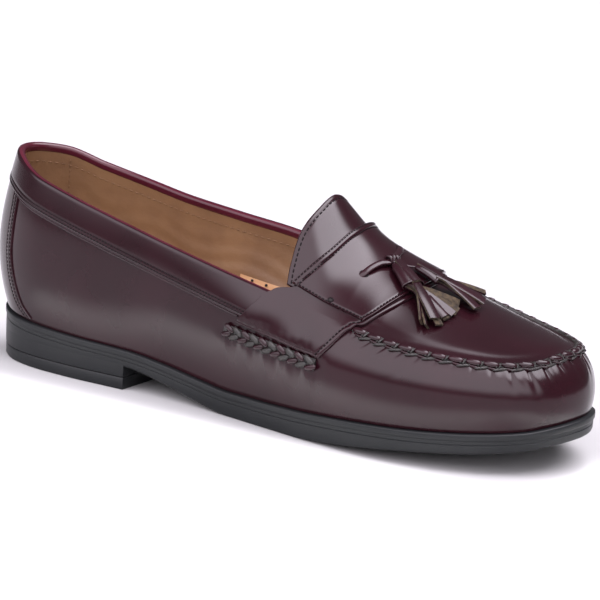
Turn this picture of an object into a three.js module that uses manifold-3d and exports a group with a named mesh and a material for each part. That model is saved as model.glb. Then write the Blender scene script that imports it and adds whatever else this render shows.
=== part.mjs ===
// A right-foot tassel loafer in polished leather on a moulded sole with a low heel.
// Millimetres. +X runs to the toe, +Y to the inner (medial) side, +Z up.
// The origin is on the floor, at the middle of the heel's flat underside.
import * as THREE from 'three';
import { mergeVertices } from 'three/addons/utils/BufferGeometryUtils.js';
import Module from 'manifold-3d';

const wasm = await Module();
wasm.setup();

// Driving dimensions
const SOLE_LENGTH = 295;
const BALL_WIDTH = 97;
const BACK_HEIGHT = 99.2; // floor to the topline at the back
const SEAT_HEIGHT = 24; // floor to the top of the sole at the back
const HEEL_LENGTH = 86; // back of the heel to its breast
const LIFT_THICKNESS = 5.6;
const WELT_RIB = 2.6; // height of the rib along the top of the sole's edge
const RIB_DEPTH = 0.5;
const EDGE_ROUND = 1.1; // rounding along the bottom of the sole's edge
const FEATHER_INSET = 2; // from the sole's edge in to the foot of the upper
const WALL = 2.2; // outer leather and lining together
const TONGUE_THICKNESS = 1.8;
const OVERLAY = 1.0; // leather of the collar band, the strap and the back stay
const SADDLE_THICKNESS = 0.9;
const SOCK_THICKNESS = 2.4;
const BAND_HEIGHT = 14.5; // collar band, from the topline down
const SEAM_WIDTH = 5; // hand-sewn ridge round the apron
const SEAM_HEIGHT = 2.2;
const LACED_WIDTH = 5.2; // laced ridge under each wing of the strap
const LACED_HEIGHT = 2.6;
const LACE_DIAMETER = 3;
const KNOT_RADIUS = 2.9;
const KNOT_FLATNESS = 0.8; // height of the knot, share of its width
const HEAD_LENGTH = 11; // wound head of a tassel
const HEAD_RADIUS = 2.6;
const FRINGE_LENGTH = 21;
const STRIP_WIDTH = 3.2;
const STRIP_THICKNESS = 1.1;
const STRIP_BOW = 0.6; // how far each strip curves up on its way
const CLEARANCE = 0.3; // between pieces that touch on the real shoe

// Where the origin sits, measured from the back of the heel
const ORIGIN_X = HEEL_LENGTH / 2;

const table = (columns, rows) =>
  rows.map((row) => Object.fromEntries(columns.map((name, k) => [name, row[k]])));

// Sections from the heel to the toe. at: share of SOLE_LENGTH. lat, med: half widths of the
// outsole; inLat, inMed: how far the top edge lies inside that outline, shares of BALL_WIDTH.
// upLat, upMed: top edge above the floor, share of BACK_HEIGHT. flare, lean: degrees from
// upright, outwards at the foot of the wall and inwards at its top edge.
const HANDLE = 0.38; // reach of the wall's two curve handles, share of its straight height
const SECTIONS = table(
  ['at', 'lat', 'med', 'inLat', 'inMed', 'upLat', 'upMed', 'flareLat', 'flareMed', 'leanLat', 'leanMed'],
  [
    [0.0, 0.0, 0.0, 0.035, 0.035, 1.0, 1.0, 21, 21, 14, 14],
    [0.0126, 0.116, 0.116, 0.038, 0.038, 0.987, 1.0, 20, 20, 14, 14],
    [0.05, 0.233, 0.233, 0.045, 0.045, 0.947, 0.981, 17, 17, 13, 13],
    [0.101, 0.3, 0.3, 0.031, 0.036, 0.901, 0.927, 14, 14, 12, 12],
    [0.181, 0.334, 0.33, 0.021, 0.012, 0.842, 0.868, 12, 12, 12, 12],
    [0.262, 0.339, 0.31, 0.01, -0.01, 0.782, 0.821, 12, 13, 12, 12],
    [0.362, 0.339, 0.267, -0.015, -0.052, 0.715, 0.782, 14, 18, 13, 12],
    [0.463, 0.368, 0.262, -0.005, -0.093, 0.65, 0.737, 16, 22, 17, 14],
    [0.564, 0.426, 0.33, 0.028, -0.035, 0.592, 0.675, 17, 22, 30, 26],
    [0.665, 0.485, 0.446, 0.068, 0.047, 0.523, 0.609, 17, 20, 42, 40],
    [0.725, 0.504, 0.485, 0.073, 0.073, 0.49, 0.582, 17, 18, 50, 48],
    [0.785, 0.499, 0.494, 0.072, 0.072, 0.469, 0.544, 17, 17, 54, 52],
    [0.856, 0.456, 0.47, 0.072, 0.072, 0.456, 0.502, 16, 16, 55, 55],
    [0.916, 0.378, 0.407, 0.074, 0.074, 0.451, 0.479, 15, 15, 55, 55],
    [0.963, 0.267, 0.3, 0.086, 0.086, 0.461, 0.472, 14, 14, 54, 54],
    [0.988, 0.15, 0.174, 0.1, 0.1, 0.479, 0.48, 13, 13, 53, 53],
    [1.0, 0.0, 0.0, 0.104, 0.104, 0.487, 0.487, 13, 13, 53, 53],
  ],
);

// The sole seen from the side. top: upper face; under: underside of the slab. Shares of SEAT_HEIGHT.
const SOLE_LINE = table(
  ['at', 'top', 'under'],
  [
    [0.0, 1.0, 0.52],
    [0.07, 0.9, 0.49],
    [0.201, 0.81, 0.46],
    [0.292, 0.765, 0.44],
    [0.362, 0.655, 0.29],
    [0.433, 0.52, 0.09],
    [0.483, 0.455, 0.0],
    [0.544, 0.458, 0.0],
    [0.604, 0.48, 0.0],
    [0.665, 0.53, 0.06],
    [0.725, 0.58, 0.145],
    [0.805, 0.64, 0.26],
    [0.886, 0.72, 0.36],
    [0.946, 0.8, 0.46],
    [0.978, 0.89, 0.55],
    [1.0, 0.96, 0.61],
  ],
);

// The ridge over the instep and the apron. up: height, share of BACK_HEIGHT; power: how square
// the arch under it is, from 2 for a parabola to 3 and more for a flat top.
const RIDGE = table(
  ['at', 'up', 'power'],
  [
    [0.554, 1.053, 1.7],
    [0.579, 0.987, 1.7],
    [0.634, 0.824, 1.75],
    [0.705, 0.702, 2.2],
    [0.77, 0.628, 2.2],
    [0.831, 0.569, 2.2],
    [0.886, 0.53, 2.2],
    [0.941, 0.504, 2.2],
    [0.966, 0.487, 2.2],
    [1.0, 0.484, 2.2],
  ],
);

// The overlays are laid out in surface coordinates: s counts the sections from the heel's back,
// v goes up the outer wall from 0 to 1, over the arch from 1 to 2 and down the inner wall to 3.
// Strap: one row from the laced seam over the instep to the other laced seam.
const STRAP = table(
  ['rear', 'rearV', 'front', 'frontV'],
  [
    [7.38, 0.64, 8.84, 0.585],
    [7.655, 0.86, 9.1, 0.83],
    [7.83, 0.995, 9.32, 1.0],
    [8.25, 1.06, 9.62, 1.05],
    [8.6, 1.25, 10.08, 1.23],
    [8.7, 1.5, 10.3, 1.5],
    [8.6, 1.75, 10.08, 1.77],
    [8.25, 1.94, 9.62, 1.95],
    [7.83, 2.005, 9.32, 2.0],
    [7.655, 2.14, 9.1, 2.17],
    [7.38, 2.36, 8.84, 2.415],
  ],
);
const SADDLE = table(
  ['v', 'rear', 'front'],
  [
    [1.045, 8.13, 9.52],
    [1.12, 8.26, 9.76],
    [1.24, 8.4, 9.98],
    [1.38, 8.47, 10.12],
    [1.5, 8.5, 10.18],
    [1.62, 8.47, 10.12],
    [1.76, 8.38, 9.98],
    [1.88, 8.26, 9.76],
    [1.955, 8.13, 9.52],
  ],
);
const TONGUE = table(
  ['v', 'rear', 'front'],
  [
    [1.035, 8.03, 9.14],
    [1.1, 7.99, 9.14],
    [1.21, 7.98, 9.14],
    [1.37, 8.08, 9.14],
    [1.55, 8.12, 9.14],
    [1.7, 8.06, 9.14],
    [1.85, 7.99, 9.14],
    [1.965, 8.03, 9.14],
  ],
);
// Back stay: how many sections it reaches round to each side of the heel, at height v of the wall.
const STAY = table(
  ['v', 'reach'],
  [
    [0.02, 3.04],
    [0.1, 2.66],
    [0.24, 2.4],
    [0.41, 2.24],
    [0.57, 2.2],
    [0.7, 2.17],
    [0.795, 2.13],
  ],
);
const BAND_END = 8; // section that the collar band would reach
const BAND_TOP = 0.985;
const STRAP_GAP = 0.03; // sections between the strap and what ends against it
const THROAT = 9.17; // the upper's own front edge of the throat, under the strap
const LACED_LINE = { from: 7.2, to: 8.8, fromV: 0.55, toV: 0.51 };
const LACE_HOLES = { lateral: { s: 8.96, v: 1.25 }, medial: { s: 8.96, v: 1.64 } };
const KNOT = { s: 9.3, v: 1.42 };
// Each tassel hangs from the knot over the apron: where its neck and its fringe's end lie.
const TASSELS = {
  lateral: { neck: { s: 9.98, v: 1.285 }, end: { s: 11.2, v: 1.29 }, spread: 0.72 },
  medial: { neck: { s: 10.28, v: 1.5 }, end: { s: 11.45, v: 1.6 }, spread: 0.42 },
};
// A fringe's two layers of strips. lift: above the tassel's middle; shares: across it, to each
// side. Both are shares of ROOT, the room that the strips take inside the head.
const FRINGE_LAYERS = [
  { lift: 0.55, shares: [-0.75, -0.25, 0.25, 0.75] },
  { lift: -0.5, shares: [-1, -0.5, 0, 0.5, 1] },
];
const ROOT = HEAD_RADIUS * 0.55;

// Resolution of the solids
const PER_SECTION = 3;
const WALL_ROWS = [0, 0.14, 0.34, 0.57, 0.8, 1];
const ARCH_STEPS = 10;
const TUBE_STEPS = 4;
const FORM_START = 8 - 1 / PER_SECTION; // first section that the closed form arches over
const REGION_BELOW = 4; // how far a cutting block reaches under the surface
const REGION_ABOVE = 6;
const SHARPEST_MITRE = 0.6; // keeps the way out along the crease from growing too long

const LAST = SECTIONS.length - 1;
const AROUND = 2 * LAST;
const ARCH_END = LAST - 0.2; // the arch closes to a point at the toe
const UP = new THREE.Vector3(0, 0, 1);
const DEGREE = Math.PI / 180;

// A value read along a table by a smooth curve through its rows that overshoots none of them.
function along(rows, column, at) {
  const share = THREE.MathUtils.clamp(at, rows[0].at, rows[rows.length - 1].at);
  let k = 0;
  while (k < rows.length - 2 && share > rows[k + 1].at) k += 1;
  const secant = (j) => (rows[j + 1][column] - rows[j][column]) / (rows[j + 1].at - rows[j].at);
  const slope = (j) => {
    if (j === 0) return secant(0);
    if (j === rows.length - 1) return secant(j - 1);
    const [before, after] = [secant(j - 1), secant(j)];
    return before * after <= 0 ? 0 : (2 * before * after) / (before + after);
  };
  const span = rows[k + 1].at - rows[k].at;
  const t = (share - rows[k].at) / span;
  const t2 = t * t;
  const t3 = t2 * t;
  return (
    (2 * t3 - 3 * t2 + 1) * rows[k][column] +
    (t3 - 2 * t2 + t) * span * slope(k) +
    (3 * t2 - 2 * t3) * rows[k + 1][column] +
    (t3 - t2) * span * slope(k + 1)
  );
}

const soleTop = (x) => along(SOLE_LINE, 'top', x / SOLE_LENGTH) * SEAT_HEIGHT;
const slabUnder = (x) => along(SOLE_LINE, 'under', x / SOLE_LENGTH) * SEAT_HEIGHT;
const ridge = (x) => along(RIDGE, 'up', x / SOLE_LENGTH) * BACK_HEIGHT;
const archPower = (x) => along(RIDGE, 'power', x / SOLE_LENGTH);

// The sections as one loop: heel, outer side, toe, inner side.
const loopRow = (k) => (k <= LAST ? SECTIONS[k] : SECTIONS[AROUND - k]);
const wrap = (s) => ((s % AROUND) + AROUND) % AROUND;
const outlineCurve = new THREE.CatmullRomCurve3(
  Array.from({ length: AROUND }, (_, k) => {
    const row = loopRow(k);
    const y = k <= LAST ? -row.lat : row.med;
    return new THREE.Vector3(row.at * SOLE_LENGTH, y * BALL_WIDTH, 0);
  }),
  true,
  'centripetal',
);
const outline = (s) => outlineCurve.getPoint(wrap(s) / AROUND);

function outlineNormal(s) {
  const step = 0.001;
  const d = outline(s + step).sub(outline(s - step));
  return new THREE.Vector3(d.y, -d.x, 0).normalize();
}

// A table column read round the loop, from the side that s is on.
function column(s, lateral, medial) {
  const at = wrap(s);
  const k = Math.floor(at);
  const t = at - k;
  const value = (j) => {
    const i = wrap(j);
    return loopRow(i)[i <= LAST ? lateral : medial];
  };
  const [a, b, c, d] = [value(k - 1), value(k), value(k + 1), value(k + 2)];
  return 0.5 * (2 * b + (c - a) * t + (2 * a - 5 * b + 4 * c - d) * t * t + (3 * b - a - 3 * c + d) * t ** 3);
}

function topEdge(s) {
  const p = outline(s).addScaledVector(outlineNormal(s), -column(s, 'inLat', 'inMed') * BALL_WIDTH);
  return p.setZ(column(s, 'upLat', 'upMed') * BACK_HEIGHT);
}

// The outer face of the wall, from the foot of the upper (v 0) to its top edge (v 1).
function wallPoint(s, v) {
  const n = outlineNormal(s);
  const foot = outline(s).addScaledVector(n, -FEATHER_INSET);
  foot.z = soleTop(outline(s).x) + CLEARANCE;
  const top = topEdge(s);
  const reach = foot.distanceTo(top) * HANDLE;
  const flare = column(s, 'flareLat', 'flareMed') * DEGREE;
  const lean = column(s, 'leanLat', 'leanMed') * DEGREE;
  const low = foot.clone().addScaledVector(n, Math.sin(flare) * reach);
  low.addScaledVector(UP, Math.cos(flare) * reach);
  const high = top.clone().addScaledVector(n, Math.sin(lean) * reach);
  high.addScaledVector(UP, -Math.cos(lean) * reach);
  return new THREE.CubicBezierCurve3(foot, low, high, top).getPoint(v);
}

// The arch over the instep and the apron at section s, from t -1 (outer) to 1 (inner).
function archPoint(s, t) {
  const a = topEdge(s);
  const b = topEdge(AROUND - s);
  const middle = (a.x + b.x) / 2;
  const rise = ridge(middle) - (a.z + b.z) / 2;
  const p = a.lerp(b, (t + 1) / 2);
  p.z += rise * (1 - Math.abs(t) ** archPower(middle));
  return p;
}

function surface(s, v) {
  if (v <= 1) return wallPoint(s, v);
  if (v < 2) return archPoint(s, 2 * v - 3);
  return wallPoint(AROUND - s, 3 - v);
}

function wallNormal(s, v) {
  const step = 0.01;
  const low = Math.max(v - step, 0);
  const high = Math.min(v + step, 1);
  const ds = wallPoint(s + step, v).sub(wallPoint(s - step, v));
  return ds.cross(wallPoint(s, high).sub(wallPoint(s, low))).normalize();
}

function archNormal(s, t) {
  const step = 0.01;
  const at = Math.min(s, ARCH_END);
  const low = Math.max(t - step, -1);
  const high = Math.min(t + step, 1);
  const ds = archPoint(at + step, t).sub(archPoint(at - step, t));
  return ds.cross(archPoint(at, high).sub(archPoint(at, low))).normalize();
}

function normal(s, v) {
  if (v <= 1) return wallNormal(s, v);
  if (v < 2) return archNormal(s, 2 * v - 3);
  return wallNormal(AROUND - s, 3 - v);
}

// Along the apron's seam the wall and the arch meet in a crease: the way out between them,
// lengthened so that both faces move out by one.
function edgeNormal(s) {
  const fromHeel = Math.min(wrap(s), AROUND - wrap(s));
  const wallSide = wallNormal(s, 1);
  if (fromHeel < FORM_START) return wallSide;
  const archSide = archNormal(fromHeel, wrap(s) <= LAST ? -1 : 1);
  const middle = wallSide.clone().add(archSide).normalize();
  return middle.divideScalar(Math.max(middle.dot(wallSide), SHARPEST_MITRE));
}

const onSurface = ({ s, v }, lift) => surface(s, v).addScaledVector(normal(s, v), lift);

// Mesh helpers
class Faces {
  constructor() {
    this.points = [];
    this.triangles = [];
  }
  add(p) {
    this.points.push(p);
    return this.points.length - 1;
  }
  quad(a, b, c, d) {
    this.triangles.push([a, b, c], [a, c, d]);
  }
  triangle(a, b, c) {
    this.triangles.push([a, b, c]);
  }
  geometry() {
    const out = new THREE.BufferGeometry();
    out.setAttribute('position', new THREE.Float32BufferAttribute(this.points.flatMap((p) => p.toArray()), 3));
    out.setIndex(this.triangles.flat());
    return out;
  }
}

function solidOf(geometry) {
  const bare = geometry.clone();
  bare.deleteAttribute('normal');
  bare.deleteAttribute('uv');
  const merged = mergeVertices(bare, 1e-4);
  const index = merged.index.array;
  return new wasm.Manifold(
    new wasm.Mesh({
      numProp: 3,
      vertProperties: new Float32Array(merged.attributes.position.array),
      triVerts: new Uint32Array(index),
    }),
  );
}

function geometryOf(solid) {
  const mesh = solid.getMesh();
  const out = new THREE.BufferGeometry();
  out.setAttribute('position', new THREE.BufferAttribute(new Float32Array(mesh.vertProperties), 3));
  out.setIndex(new THREE.BufferAttribute(new Uint32Array(mesh.triVerts), 1));
  return out;
}

const boxSolid = (low, high) => {
  const box = new THREE.BoxGeometry(high.x - low.x, high.y - low.y, high.z - low.z);
  box.translate((low.x + high.x) / 2, (low.y + high.y) / 2, (low.z + high.z) / 2);
  return solidOf(box);
};

// The biggest of the bodies that a cut leaves.
function mainBody(solid) {
  const bodies = solid.decompose();
  return bodies.reduce((best, body) => (body.volume() > best.volume() ? body : best));
}

// A closed skin from rings of points that go round the shoe in step, with flat ladders for ends.
function ringSolid(rings) {
  const faces = new Faces();
  const count = rings[0].length;
  const ids = rings.map((ring) => ring.map((p) => faces.add(p)));
  for (let r = 0; r < rings.length - 1; r += 1) {
    for (let c = 0; c < count; c += 1) {
      const d = (c + 1) % count;
      faces.quad(ids[r][c], ids[r][d], ids[r + 1][d], ids[r + 1][c]);
    }
  }
  ladder(faces, ids[0], false);
  ladder(faces, ids[ids.length - 1], true);
  return solidOf(faces.geometry());
}

// Fills a ring by rungs between its outer and its inner side.
function ladder(faces, ring, upwards, upTo = ring.length / 2) {
  const count = ring.length;
  for (let c = 0; c < upTo; c += 1) {
    const [a, b] = [ring[c], ring[c + 1]];
    const [d, e] = [ring[(count - c) % count], ring[count - c - 1]];
    const order = upwards ? [a, b, e, d] : [d, e, b, a];
    const corners = order.filter((id, k) => id !== order[(k + 3) % 4]);
    if (corners.length === 4) faces.quad(...corners);
    if (corners.length === 3) faces.triangle(...corners);
  }
}

const loopSteps = Array.from({ length: AROUND * PER_SECTION }, (_, c) => c / PER_SECTION);

// The upper's own form as one closed body, moved outwards by offset.
function closedForm(offset) {
  const faces = new Faces();
  const rows = WALL_ROWS.map((v) =>
    loopSteps.map((s) => {
      const out = v === 1 ? edgeNormal(s) : wallNormal(s, v);
      return faces.add(wallPoint(s, v).addScaledVector(out, offset));
    }),
  );
  const count = loopSteps.length;
  for (let r = 0; r < rows.length - 1; r += 1) {
    for (let c = 0; c < count; c += 1) {
      const d = (c + 1) % count;
      faces.quad(rows[r][c], rows[r][d], rows[r + 1][d], rows[r + 1][c]);
    }
  }
  ladder(faces, rows[0], false);
  const top = rows[rows.length - 1];
  const arch = archRows(faces, top, FORM_START, offset);
  ladder(faces, top, true, FORM_START * PER_SECTION);
  const throat = arch[0];
  for (let k = 1; k < throat.length - 1; k += 1) faces.triangle(throat[0], throat[k], throat[k + 1]);
  return solidOf(faces.geometry());
}

// The arch's faces from section start to the toe, between the two top edges of the wall.
function archRows(faces, top, start, offset) {
  const count = top.length;
  const first = Math.round(start * PER_SECTION);
  const rows = [];
  for (let c = first; c < count / 2; c += 1) {
    const row = [top[c]];
    for (let k = 1; k < ARCH_STEPS; k += 1) {
      const t = (2 * k) / ARCH_STEPS - 1;
      const s = c / PER_SECTION;
      row.push(faces.add(archPoint(s, t).addScaledVector(archNormal(s, t), offset)));
    }
    row.push(top[count - c]);
    rows.push(row);
  }
  for (let r = 0; r < rows.length - 1; r += 1) {
    for (let k = 0; k < ARCH_STEPS; k += 1) {
      faces.quad(rows[r][k], rows[r + 1][k], rows[r + 1][k + 1], rows[r][k + 1]);
    }
  }
  const last = rows[rows.length - 1];
  for (let k = 0; k < ARCH_STEPS; k += 1) faces.triangle(last[k], top[count / 2], last[k + 1]);
  return rows;
}

const forms = new Map();
const form = (offset) => {
  if (!forms.has(offset)) forms.set(offset, closedForm(offset));
  return forms.get(offset);
};

// A block that stands through the surface over a grid of surface coordinates.
function regionSolid(grid) {
  const faces = new Faces();
  const sheet = (lift) => grid.map((row) => row.map((place) => faces.add(onSurface(place, lift))));
  const low = sheet(-REGION_BELOW);
  const high = sheet(REGION_ABOVE);
  const rows = grid.length - 1;
  const columns = grid[0].length - 1;
  for (let r = 0; r < rows; r += 1) {
    for (let c = 0; c < columns; c += 1) {
      faces.quad(high[r][c], high[r][c + 1], high[r + 1][c + 1], high[r + 1][c]);
      faces.quad(low[r][c], low[r + 1][c], low[r + 1][c + 1], low[r][c + 1]);
    }
    faces.quad(low[r][0], high[r][0], high[r + 1][0], low[r + 1][0]);
    faces.quad(low[r][columns], low[r + 1][columns], high[r + 1][columns], high[r][columns]);
  }
  for (let c = 0; c < columns; c += 1) {
    faces.quad(low[0][c], low[0][c + 1], high[0][c + 1], high[0][c]);
    faces.quad(low[rows][c], high[rows][c], high[rows][c + 1], low[rows][c + 1]);
  }
  return solidOf(faces.geometry());
}

// A layer of leather over a region, between two heights above the upper's form.
function layer(grid, bottom, top) {
  return mainBody(form(top).intersect(regionSolid(grid)).subtract(form(bottom)));
}

// A grid of surface coordinates between two edges of matching rows.
function gridBetween(rows, from, to, across) {
  const grid = [];
  const refine = 2;
  const steps = (rows.length - 1) * refine;
  for (let k = 0; k <= steps; k += 1) {
    const at = k / refine;
    const j = Math.min(Math.floor(at), rows.length - 2);
    const mix = (pick) => THREE.MathUtils.lerp(pick(rows[j]), pick(rows[j + 1]), at - j);
    const [a, b] = [from, to].map((edge) => ({ s: mix((row) => edge(row).s), v: mix((row) => edge(row).v) }));
    grid.push(
      Array.from({ length: across + 1 }, (_, c) => ({
        s: THREE.MathUtils.lerp(a.s, b.s, c / across),
        v: THREE.MathUtils.lerp(a.v, b.v, c / across),
      })),
    );
  }
  return grid;
}

// The laced ridge's section, from below the surface. across: share of the width; up: of the height.
const LACED_PROFILE = table(
  ['across', 'up'],
  [
    [-0.5, -0.5],
    [-0.5, 0.35],
    [-0.28, 0.85],
    [0, 1],
    [0.28, 0.85],
    [0.5, 0.35],
    [0.5, -0.5],
  ],
);

// A ridge of that section swept over places that carry a point and a way out.
function ridgeSolid(places, width, height) {
  const faces = new Faces();
  const rings = places.map((place, k) => {
    const before = places[Math.max(k - 1, 0)].point;
    const after = places[Math.min(k + 1, places.length - 1)].point;
    const side = after.clone().sub(before).cross(place.out).normalize();
    return LACED_PROFILE.map(({ across, up }) => {
      const p = place.point.clone().addScaledVector(side, across * width);
      return faces.add(p.addScaledVector(place.out, CLEARANCE + up * height));
    });
  });
  return sweptSolid(faces, rings);
}

// Joins rings of points in a row and closes both ends with fans.
function sweptSolid(faces, rings) {
  const sides = rings[0].length;
  for (let k = 0; k < rings.length - 1; k += 1) {
    for (let j = 0; j < sides; j += 1) {
      const i = (j + 1) % sides;
      faces.quad(rings[k][j], rings[k][i], rings[k + 1][i], rings[k + 1][j]);
    }
  }
  const last = rings[rings.length - 1];
  for (let j = 1; j < sides - 1; j += 1) {
    faces.triangle(rings[0][0], rings[0][j + 1], rings[0][j]);
    faces.triangle(last[0], last[j], last[j + 1]);
  }
  return solidOf(faces.geometry());
}

// Sole
const ringAt = (inset, height) =>
  loopSteps.map((s) => {
    const edge = outline(s);
    const p = edge.clone().addScaledVector(outlineNormal(s), -inset);
    return p.setZ(height(edge.x));
  });

function behindBreast(solid) {
  const reach = BALL_WIDTH;
  const cut = boxSolid(new THREE.Vector3(-reach, -reach, -reach), new THREE.Vector3(HEEL_LENGTH, reach, reach));
  return solid.intersect(cut);
}

function outsole() {
  const ribFoot = (x) => soleTop(x) - WELT_RIB;
  const slab = ringSolid([
    ringAt(RIB_DEPTH + EDGE_ROUND, slabUnder),
    ringAt(RIB_DEPTH + EDGE_ROUND / 3, (x) => slabUnder(x) + EDGE_ROUND / 3),
    ringAt(RIB_DEPTH, (x) => slabUnder(x) + EDGE_ROUND),
    ringAt(RIB_DEPTH, (x) => ribFoot(x) - RIB_DEPTH),
    ringAt(0, ribFoot),
    ringAt(0, (x) => soleTop(x) - RIB_DEPTH),
    ringAt(RIB_DEPTH, soleTop),
  ]);
  const block = ringSolid([
    ringAt(2 * RIB_DEPTH, () => LIFT_THICKNESS + CLEARANCE),
    ringAt(RIB_DEPTH, (x) => slabUnder(x) + EDGE_ROUND),
    ringAt(RIB_DEPTH, (x) => ribFoot(x) - 2 * RIB_DEPTH),
  ]);
  return slab.add(behindBreast(block));
}

function heelLift() {
  return behindBreast(
    ringSolid([
      ringAt(3 * RIB_DEPTH, () => 0),
      ringAt(2 * RIB_DEPTH, () => RIB_DEPTH),
      ringAt(2 * RIB_DEPTH, () => LIFT_THICKNESS),
    ]),
  );
}

function insole() {
  const inset = FEATHER_INSET + WALL + 3 * CLEARANCE;
  return ringSolid([
    ringAt(inset, (x) => soleTop(x) + CLEARANCE),
    ringAt(inset, (x) => soleTop(x) + CLEARANCE + SOCK_THICKNESS),
  ]);
}

// Upper: wall and arch with their inner faces, closed along the topline, the throat and the foot.
function upper() {
  const faces = new Faces();
  const count = loopSteps.length;
  const shell = [0, -WALL].map((offset) => {
    const rows = WALL_ROWS.map((v) =>
      loopSteps.map((s) => {
        const out = v === 1 ? edgeNormal(s) : wallNormal(s, v);
        return faces.add(wallPoint(s, v).addScaledVector(out, offset));
      }),
    );
    return { rows, top: rows[rows.length - 1], offset };
  });
  const first = Math.ceil(THROAT * PER_SECTION);
  shell.forEach((skin, inner) => {
    const before = faces.triangles.length;
    for (let r = 0; r < WALL_ROWS.length - 1; r += 1) {
      for (let c = 0; c < count; c += 1) {
        const d = (c + 1) % count;
        faces.quad(skin.rows[r][c], skin.rows[r][d], skin.rows[r + 1][d], skin.rows[r + 1][c]);
      }
    }
    skin.arch = archRows(faces, skin.top, first / PER_SECTION, skin.offset);
    if (inner) for (let k = before; k < faces.triangles.length; k += 1) faces.triangles[k].reverse();
  });
  const [outer, lining] = shell;
  for (let c = 0; c < count; c += 1) {
    const d = (c + 1) % count;
    faces.quad(outer.rows[0][d], outer.rows[0][c], lining.rows[0][c], lining.rows[0][d]);
    const inCollar = c < first || c >= count - first;
    if (inCollar) faces.quad(outer.top[c], outer.top[d], lining.top[d], lining.top[c]);
  }
  const [edge, back] = [outer.arch[0], lining.arch[0]];
  for (let k = 0; k < edge.length - 1; k += 1) faces.quad(edge[k], edge[k + 1], back[k + 1], back[k]);
  return solidOf(faces.geometry());
}

// Overlays
const STRAP_TOP = CLEARANCE + OVERLAY;
const SADDLE_BOTTOM = STRAP_TOP + CLEARANCE;
const SADDLE_TOP = SADDLE_BOTTOM + SADDLE_THICKNESS;
const wallLength = (s) => wallPoint(s, 0).distanceTo(wallPoint(s, 1));
const bandFoot = (s) => 1 - BAND_HEIGHT / wallLength(s);

const STRAP_ACROSS = 6; // cells of the cutting grids from rear to front
const SADDLE_ACROSS = 5;

const strapGrid = (gap) =>
  gridBetween(
    STRAP,
    (row) => ({ s: row.rear - gap, v: row.rearV }),
    (row) => ({ s: row.front + gap, v: row.frontV }),
    STRAP_ACROSS,
  );

function bandGrid(gap) {
  const steps = 2 * BAND_END;
  const rows = Array.from({ length: steps + 1 }, (_, k) => BAND_END * ((2 * k) / steps - 1));
  return rows.map((s) => [BAND_TOP, bandFoot(s) - gap / 2].map((v) => ({ s, v })));
}

function collarBand() {
  const beyondStrap = layer(bandGrid(0), CLEARANCE, STRAP_TOP).subtract(regionSolid(strapGrid(STRAP_GAP)));
  return mainBody(beyondStrap);
}

function backStay() {
  const across = 4;
  const grid = STAY.map(({ v, reach }) =>
    Array.from({ length: across + 1 }, (_, k) => ({ s: reach * ((2 * k) / across - 1), v })),
  );
  const belowBand = layer(grid, CLEARANCE, STRAP_TOP).subtract(regionSolid(bandGrid(STRAP_GAP)));
  return mainBody(belowBand);
}

const strap = () => layer(strapGrid(0), CLEARANCE, STRAP_TOP);

function overInstep(rows, bottom, top) {
  const grid = gridBetween(
    rows,
    (row) => ({ s: row.rear, v: row.v }),
    (row) => ({ s: row.front, v: row.v }),
    SADDLE_ACROSS,
  );
  return layer(grid, bottom, top);
}

// The seam's section over the crease, anticlockwise from the arch. across: 1 on the arch, -1 on
// the wall, shares of half the width; up: share of the height.
const SEAM_PROFILE = table(
  ['across', 'up'],
  [
    [0, 0],
    [1, 0],
    [1, 0.45],
    [0.55, 0.9],
    [0, 1],
    [-0.55, 0.9],
    [-1, 0.45],
    [-1, 0],
  ],
);

// Where the strap's front edge crosses height v of the surface.
function strapFront(v) {
  const k = STRAP.findIndex((row) => row.frontV >= v);
  const [a, b] = [STRAP[k - 1], STRAP[k]];
  return THREE.MathUtils.mapLinear(v, a.frontV, b.frontV, a.front, b.front);
}

// A point on the arch a little way in from the top edge, and the way out of it.
function insideEdge(s, inward, lift) {
  const lateral = wrap(s) <= LAST;
  const out = archNormal(lateral ? wrap(s) : AROUND - wrap(s), lateral ? -1 : 1);
  const p = topEdge(s).addScaledVector(outlineNormal(s), -inward);
  p.z += (inward * out.dot(outlineNormal(s))) / out.z;
  return p.addScaledVector(out, lift);
}

function apronSeam() {
  const faces = new Faces();
  const half = SEAM_WIDTH / 2;
  const span = topEdge(THROAT).distanceTo(topEdge(AROUND - THROAT));
  const ring = (stationOf) =>
    SEAM_PROFILE.map(({ across, up }) => {
      const lift = CLEARANCE + up * SEAM_HEIGHT;
      const inward = across * half;
      const s = stationOf(1 + inward / (across > 0 ? span : wallLength(THROAT)));
      if (across > 0) return faces.add(insideEdge(s, inward, lift));
      if (across < 0) return faces.add(onSurface({ s, v: 1 + inward / wallLength(s) }, lift));
      return faces.add(topEdge(s).addScaledVector(edgeNormal(s), lift));
    });
  const first = strapFront(1 + half / span) + STRAP_GAP;
  const rings = [
    ring((v) => strapFront(v) + STRAP_GAP),
    ...loopSteps.filter((s) => s > first && s < AROUND - first).map((s) => ring(() => s)),
    ring((v) => AROUND - strapFront(v) - STRAP_GAP),
  ];
  return sweptSolid(faces, rings);
}

function lacedSeam(medial) {
  const steps = 12;
  const places = Array.from({ length: steps + 1 }, (_, k) => {
    const s = THREE.MathUtils.lerp(LACED_LINE.from, LACED_LINE.to, k / steps);
    const v = THREE.MathUtils.lerp(LACED_LINE.fromV, LACED_LINE.toV, k / steps);
    const side = medial ? AROUND - s : s;
    return { point: wallPoint(side, v), out: wallNormal(side, v) };
  });
  if (medial) places.reverse();
  return mainBody(ridgeSolid(places, LACED_WIDTH, LACED_HEIGHT).subtract(form(CLEARANCE)));
}

// Tassels
const KNOT_LIFT = SADDLE_TOP + CLEARANCE + KNOT_RADIUS * KNOT_FLATNESS;
const HEAD_LIFT = SADDLE_TOP + CLEARANCE + HEAD_RADIUS;

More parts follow.
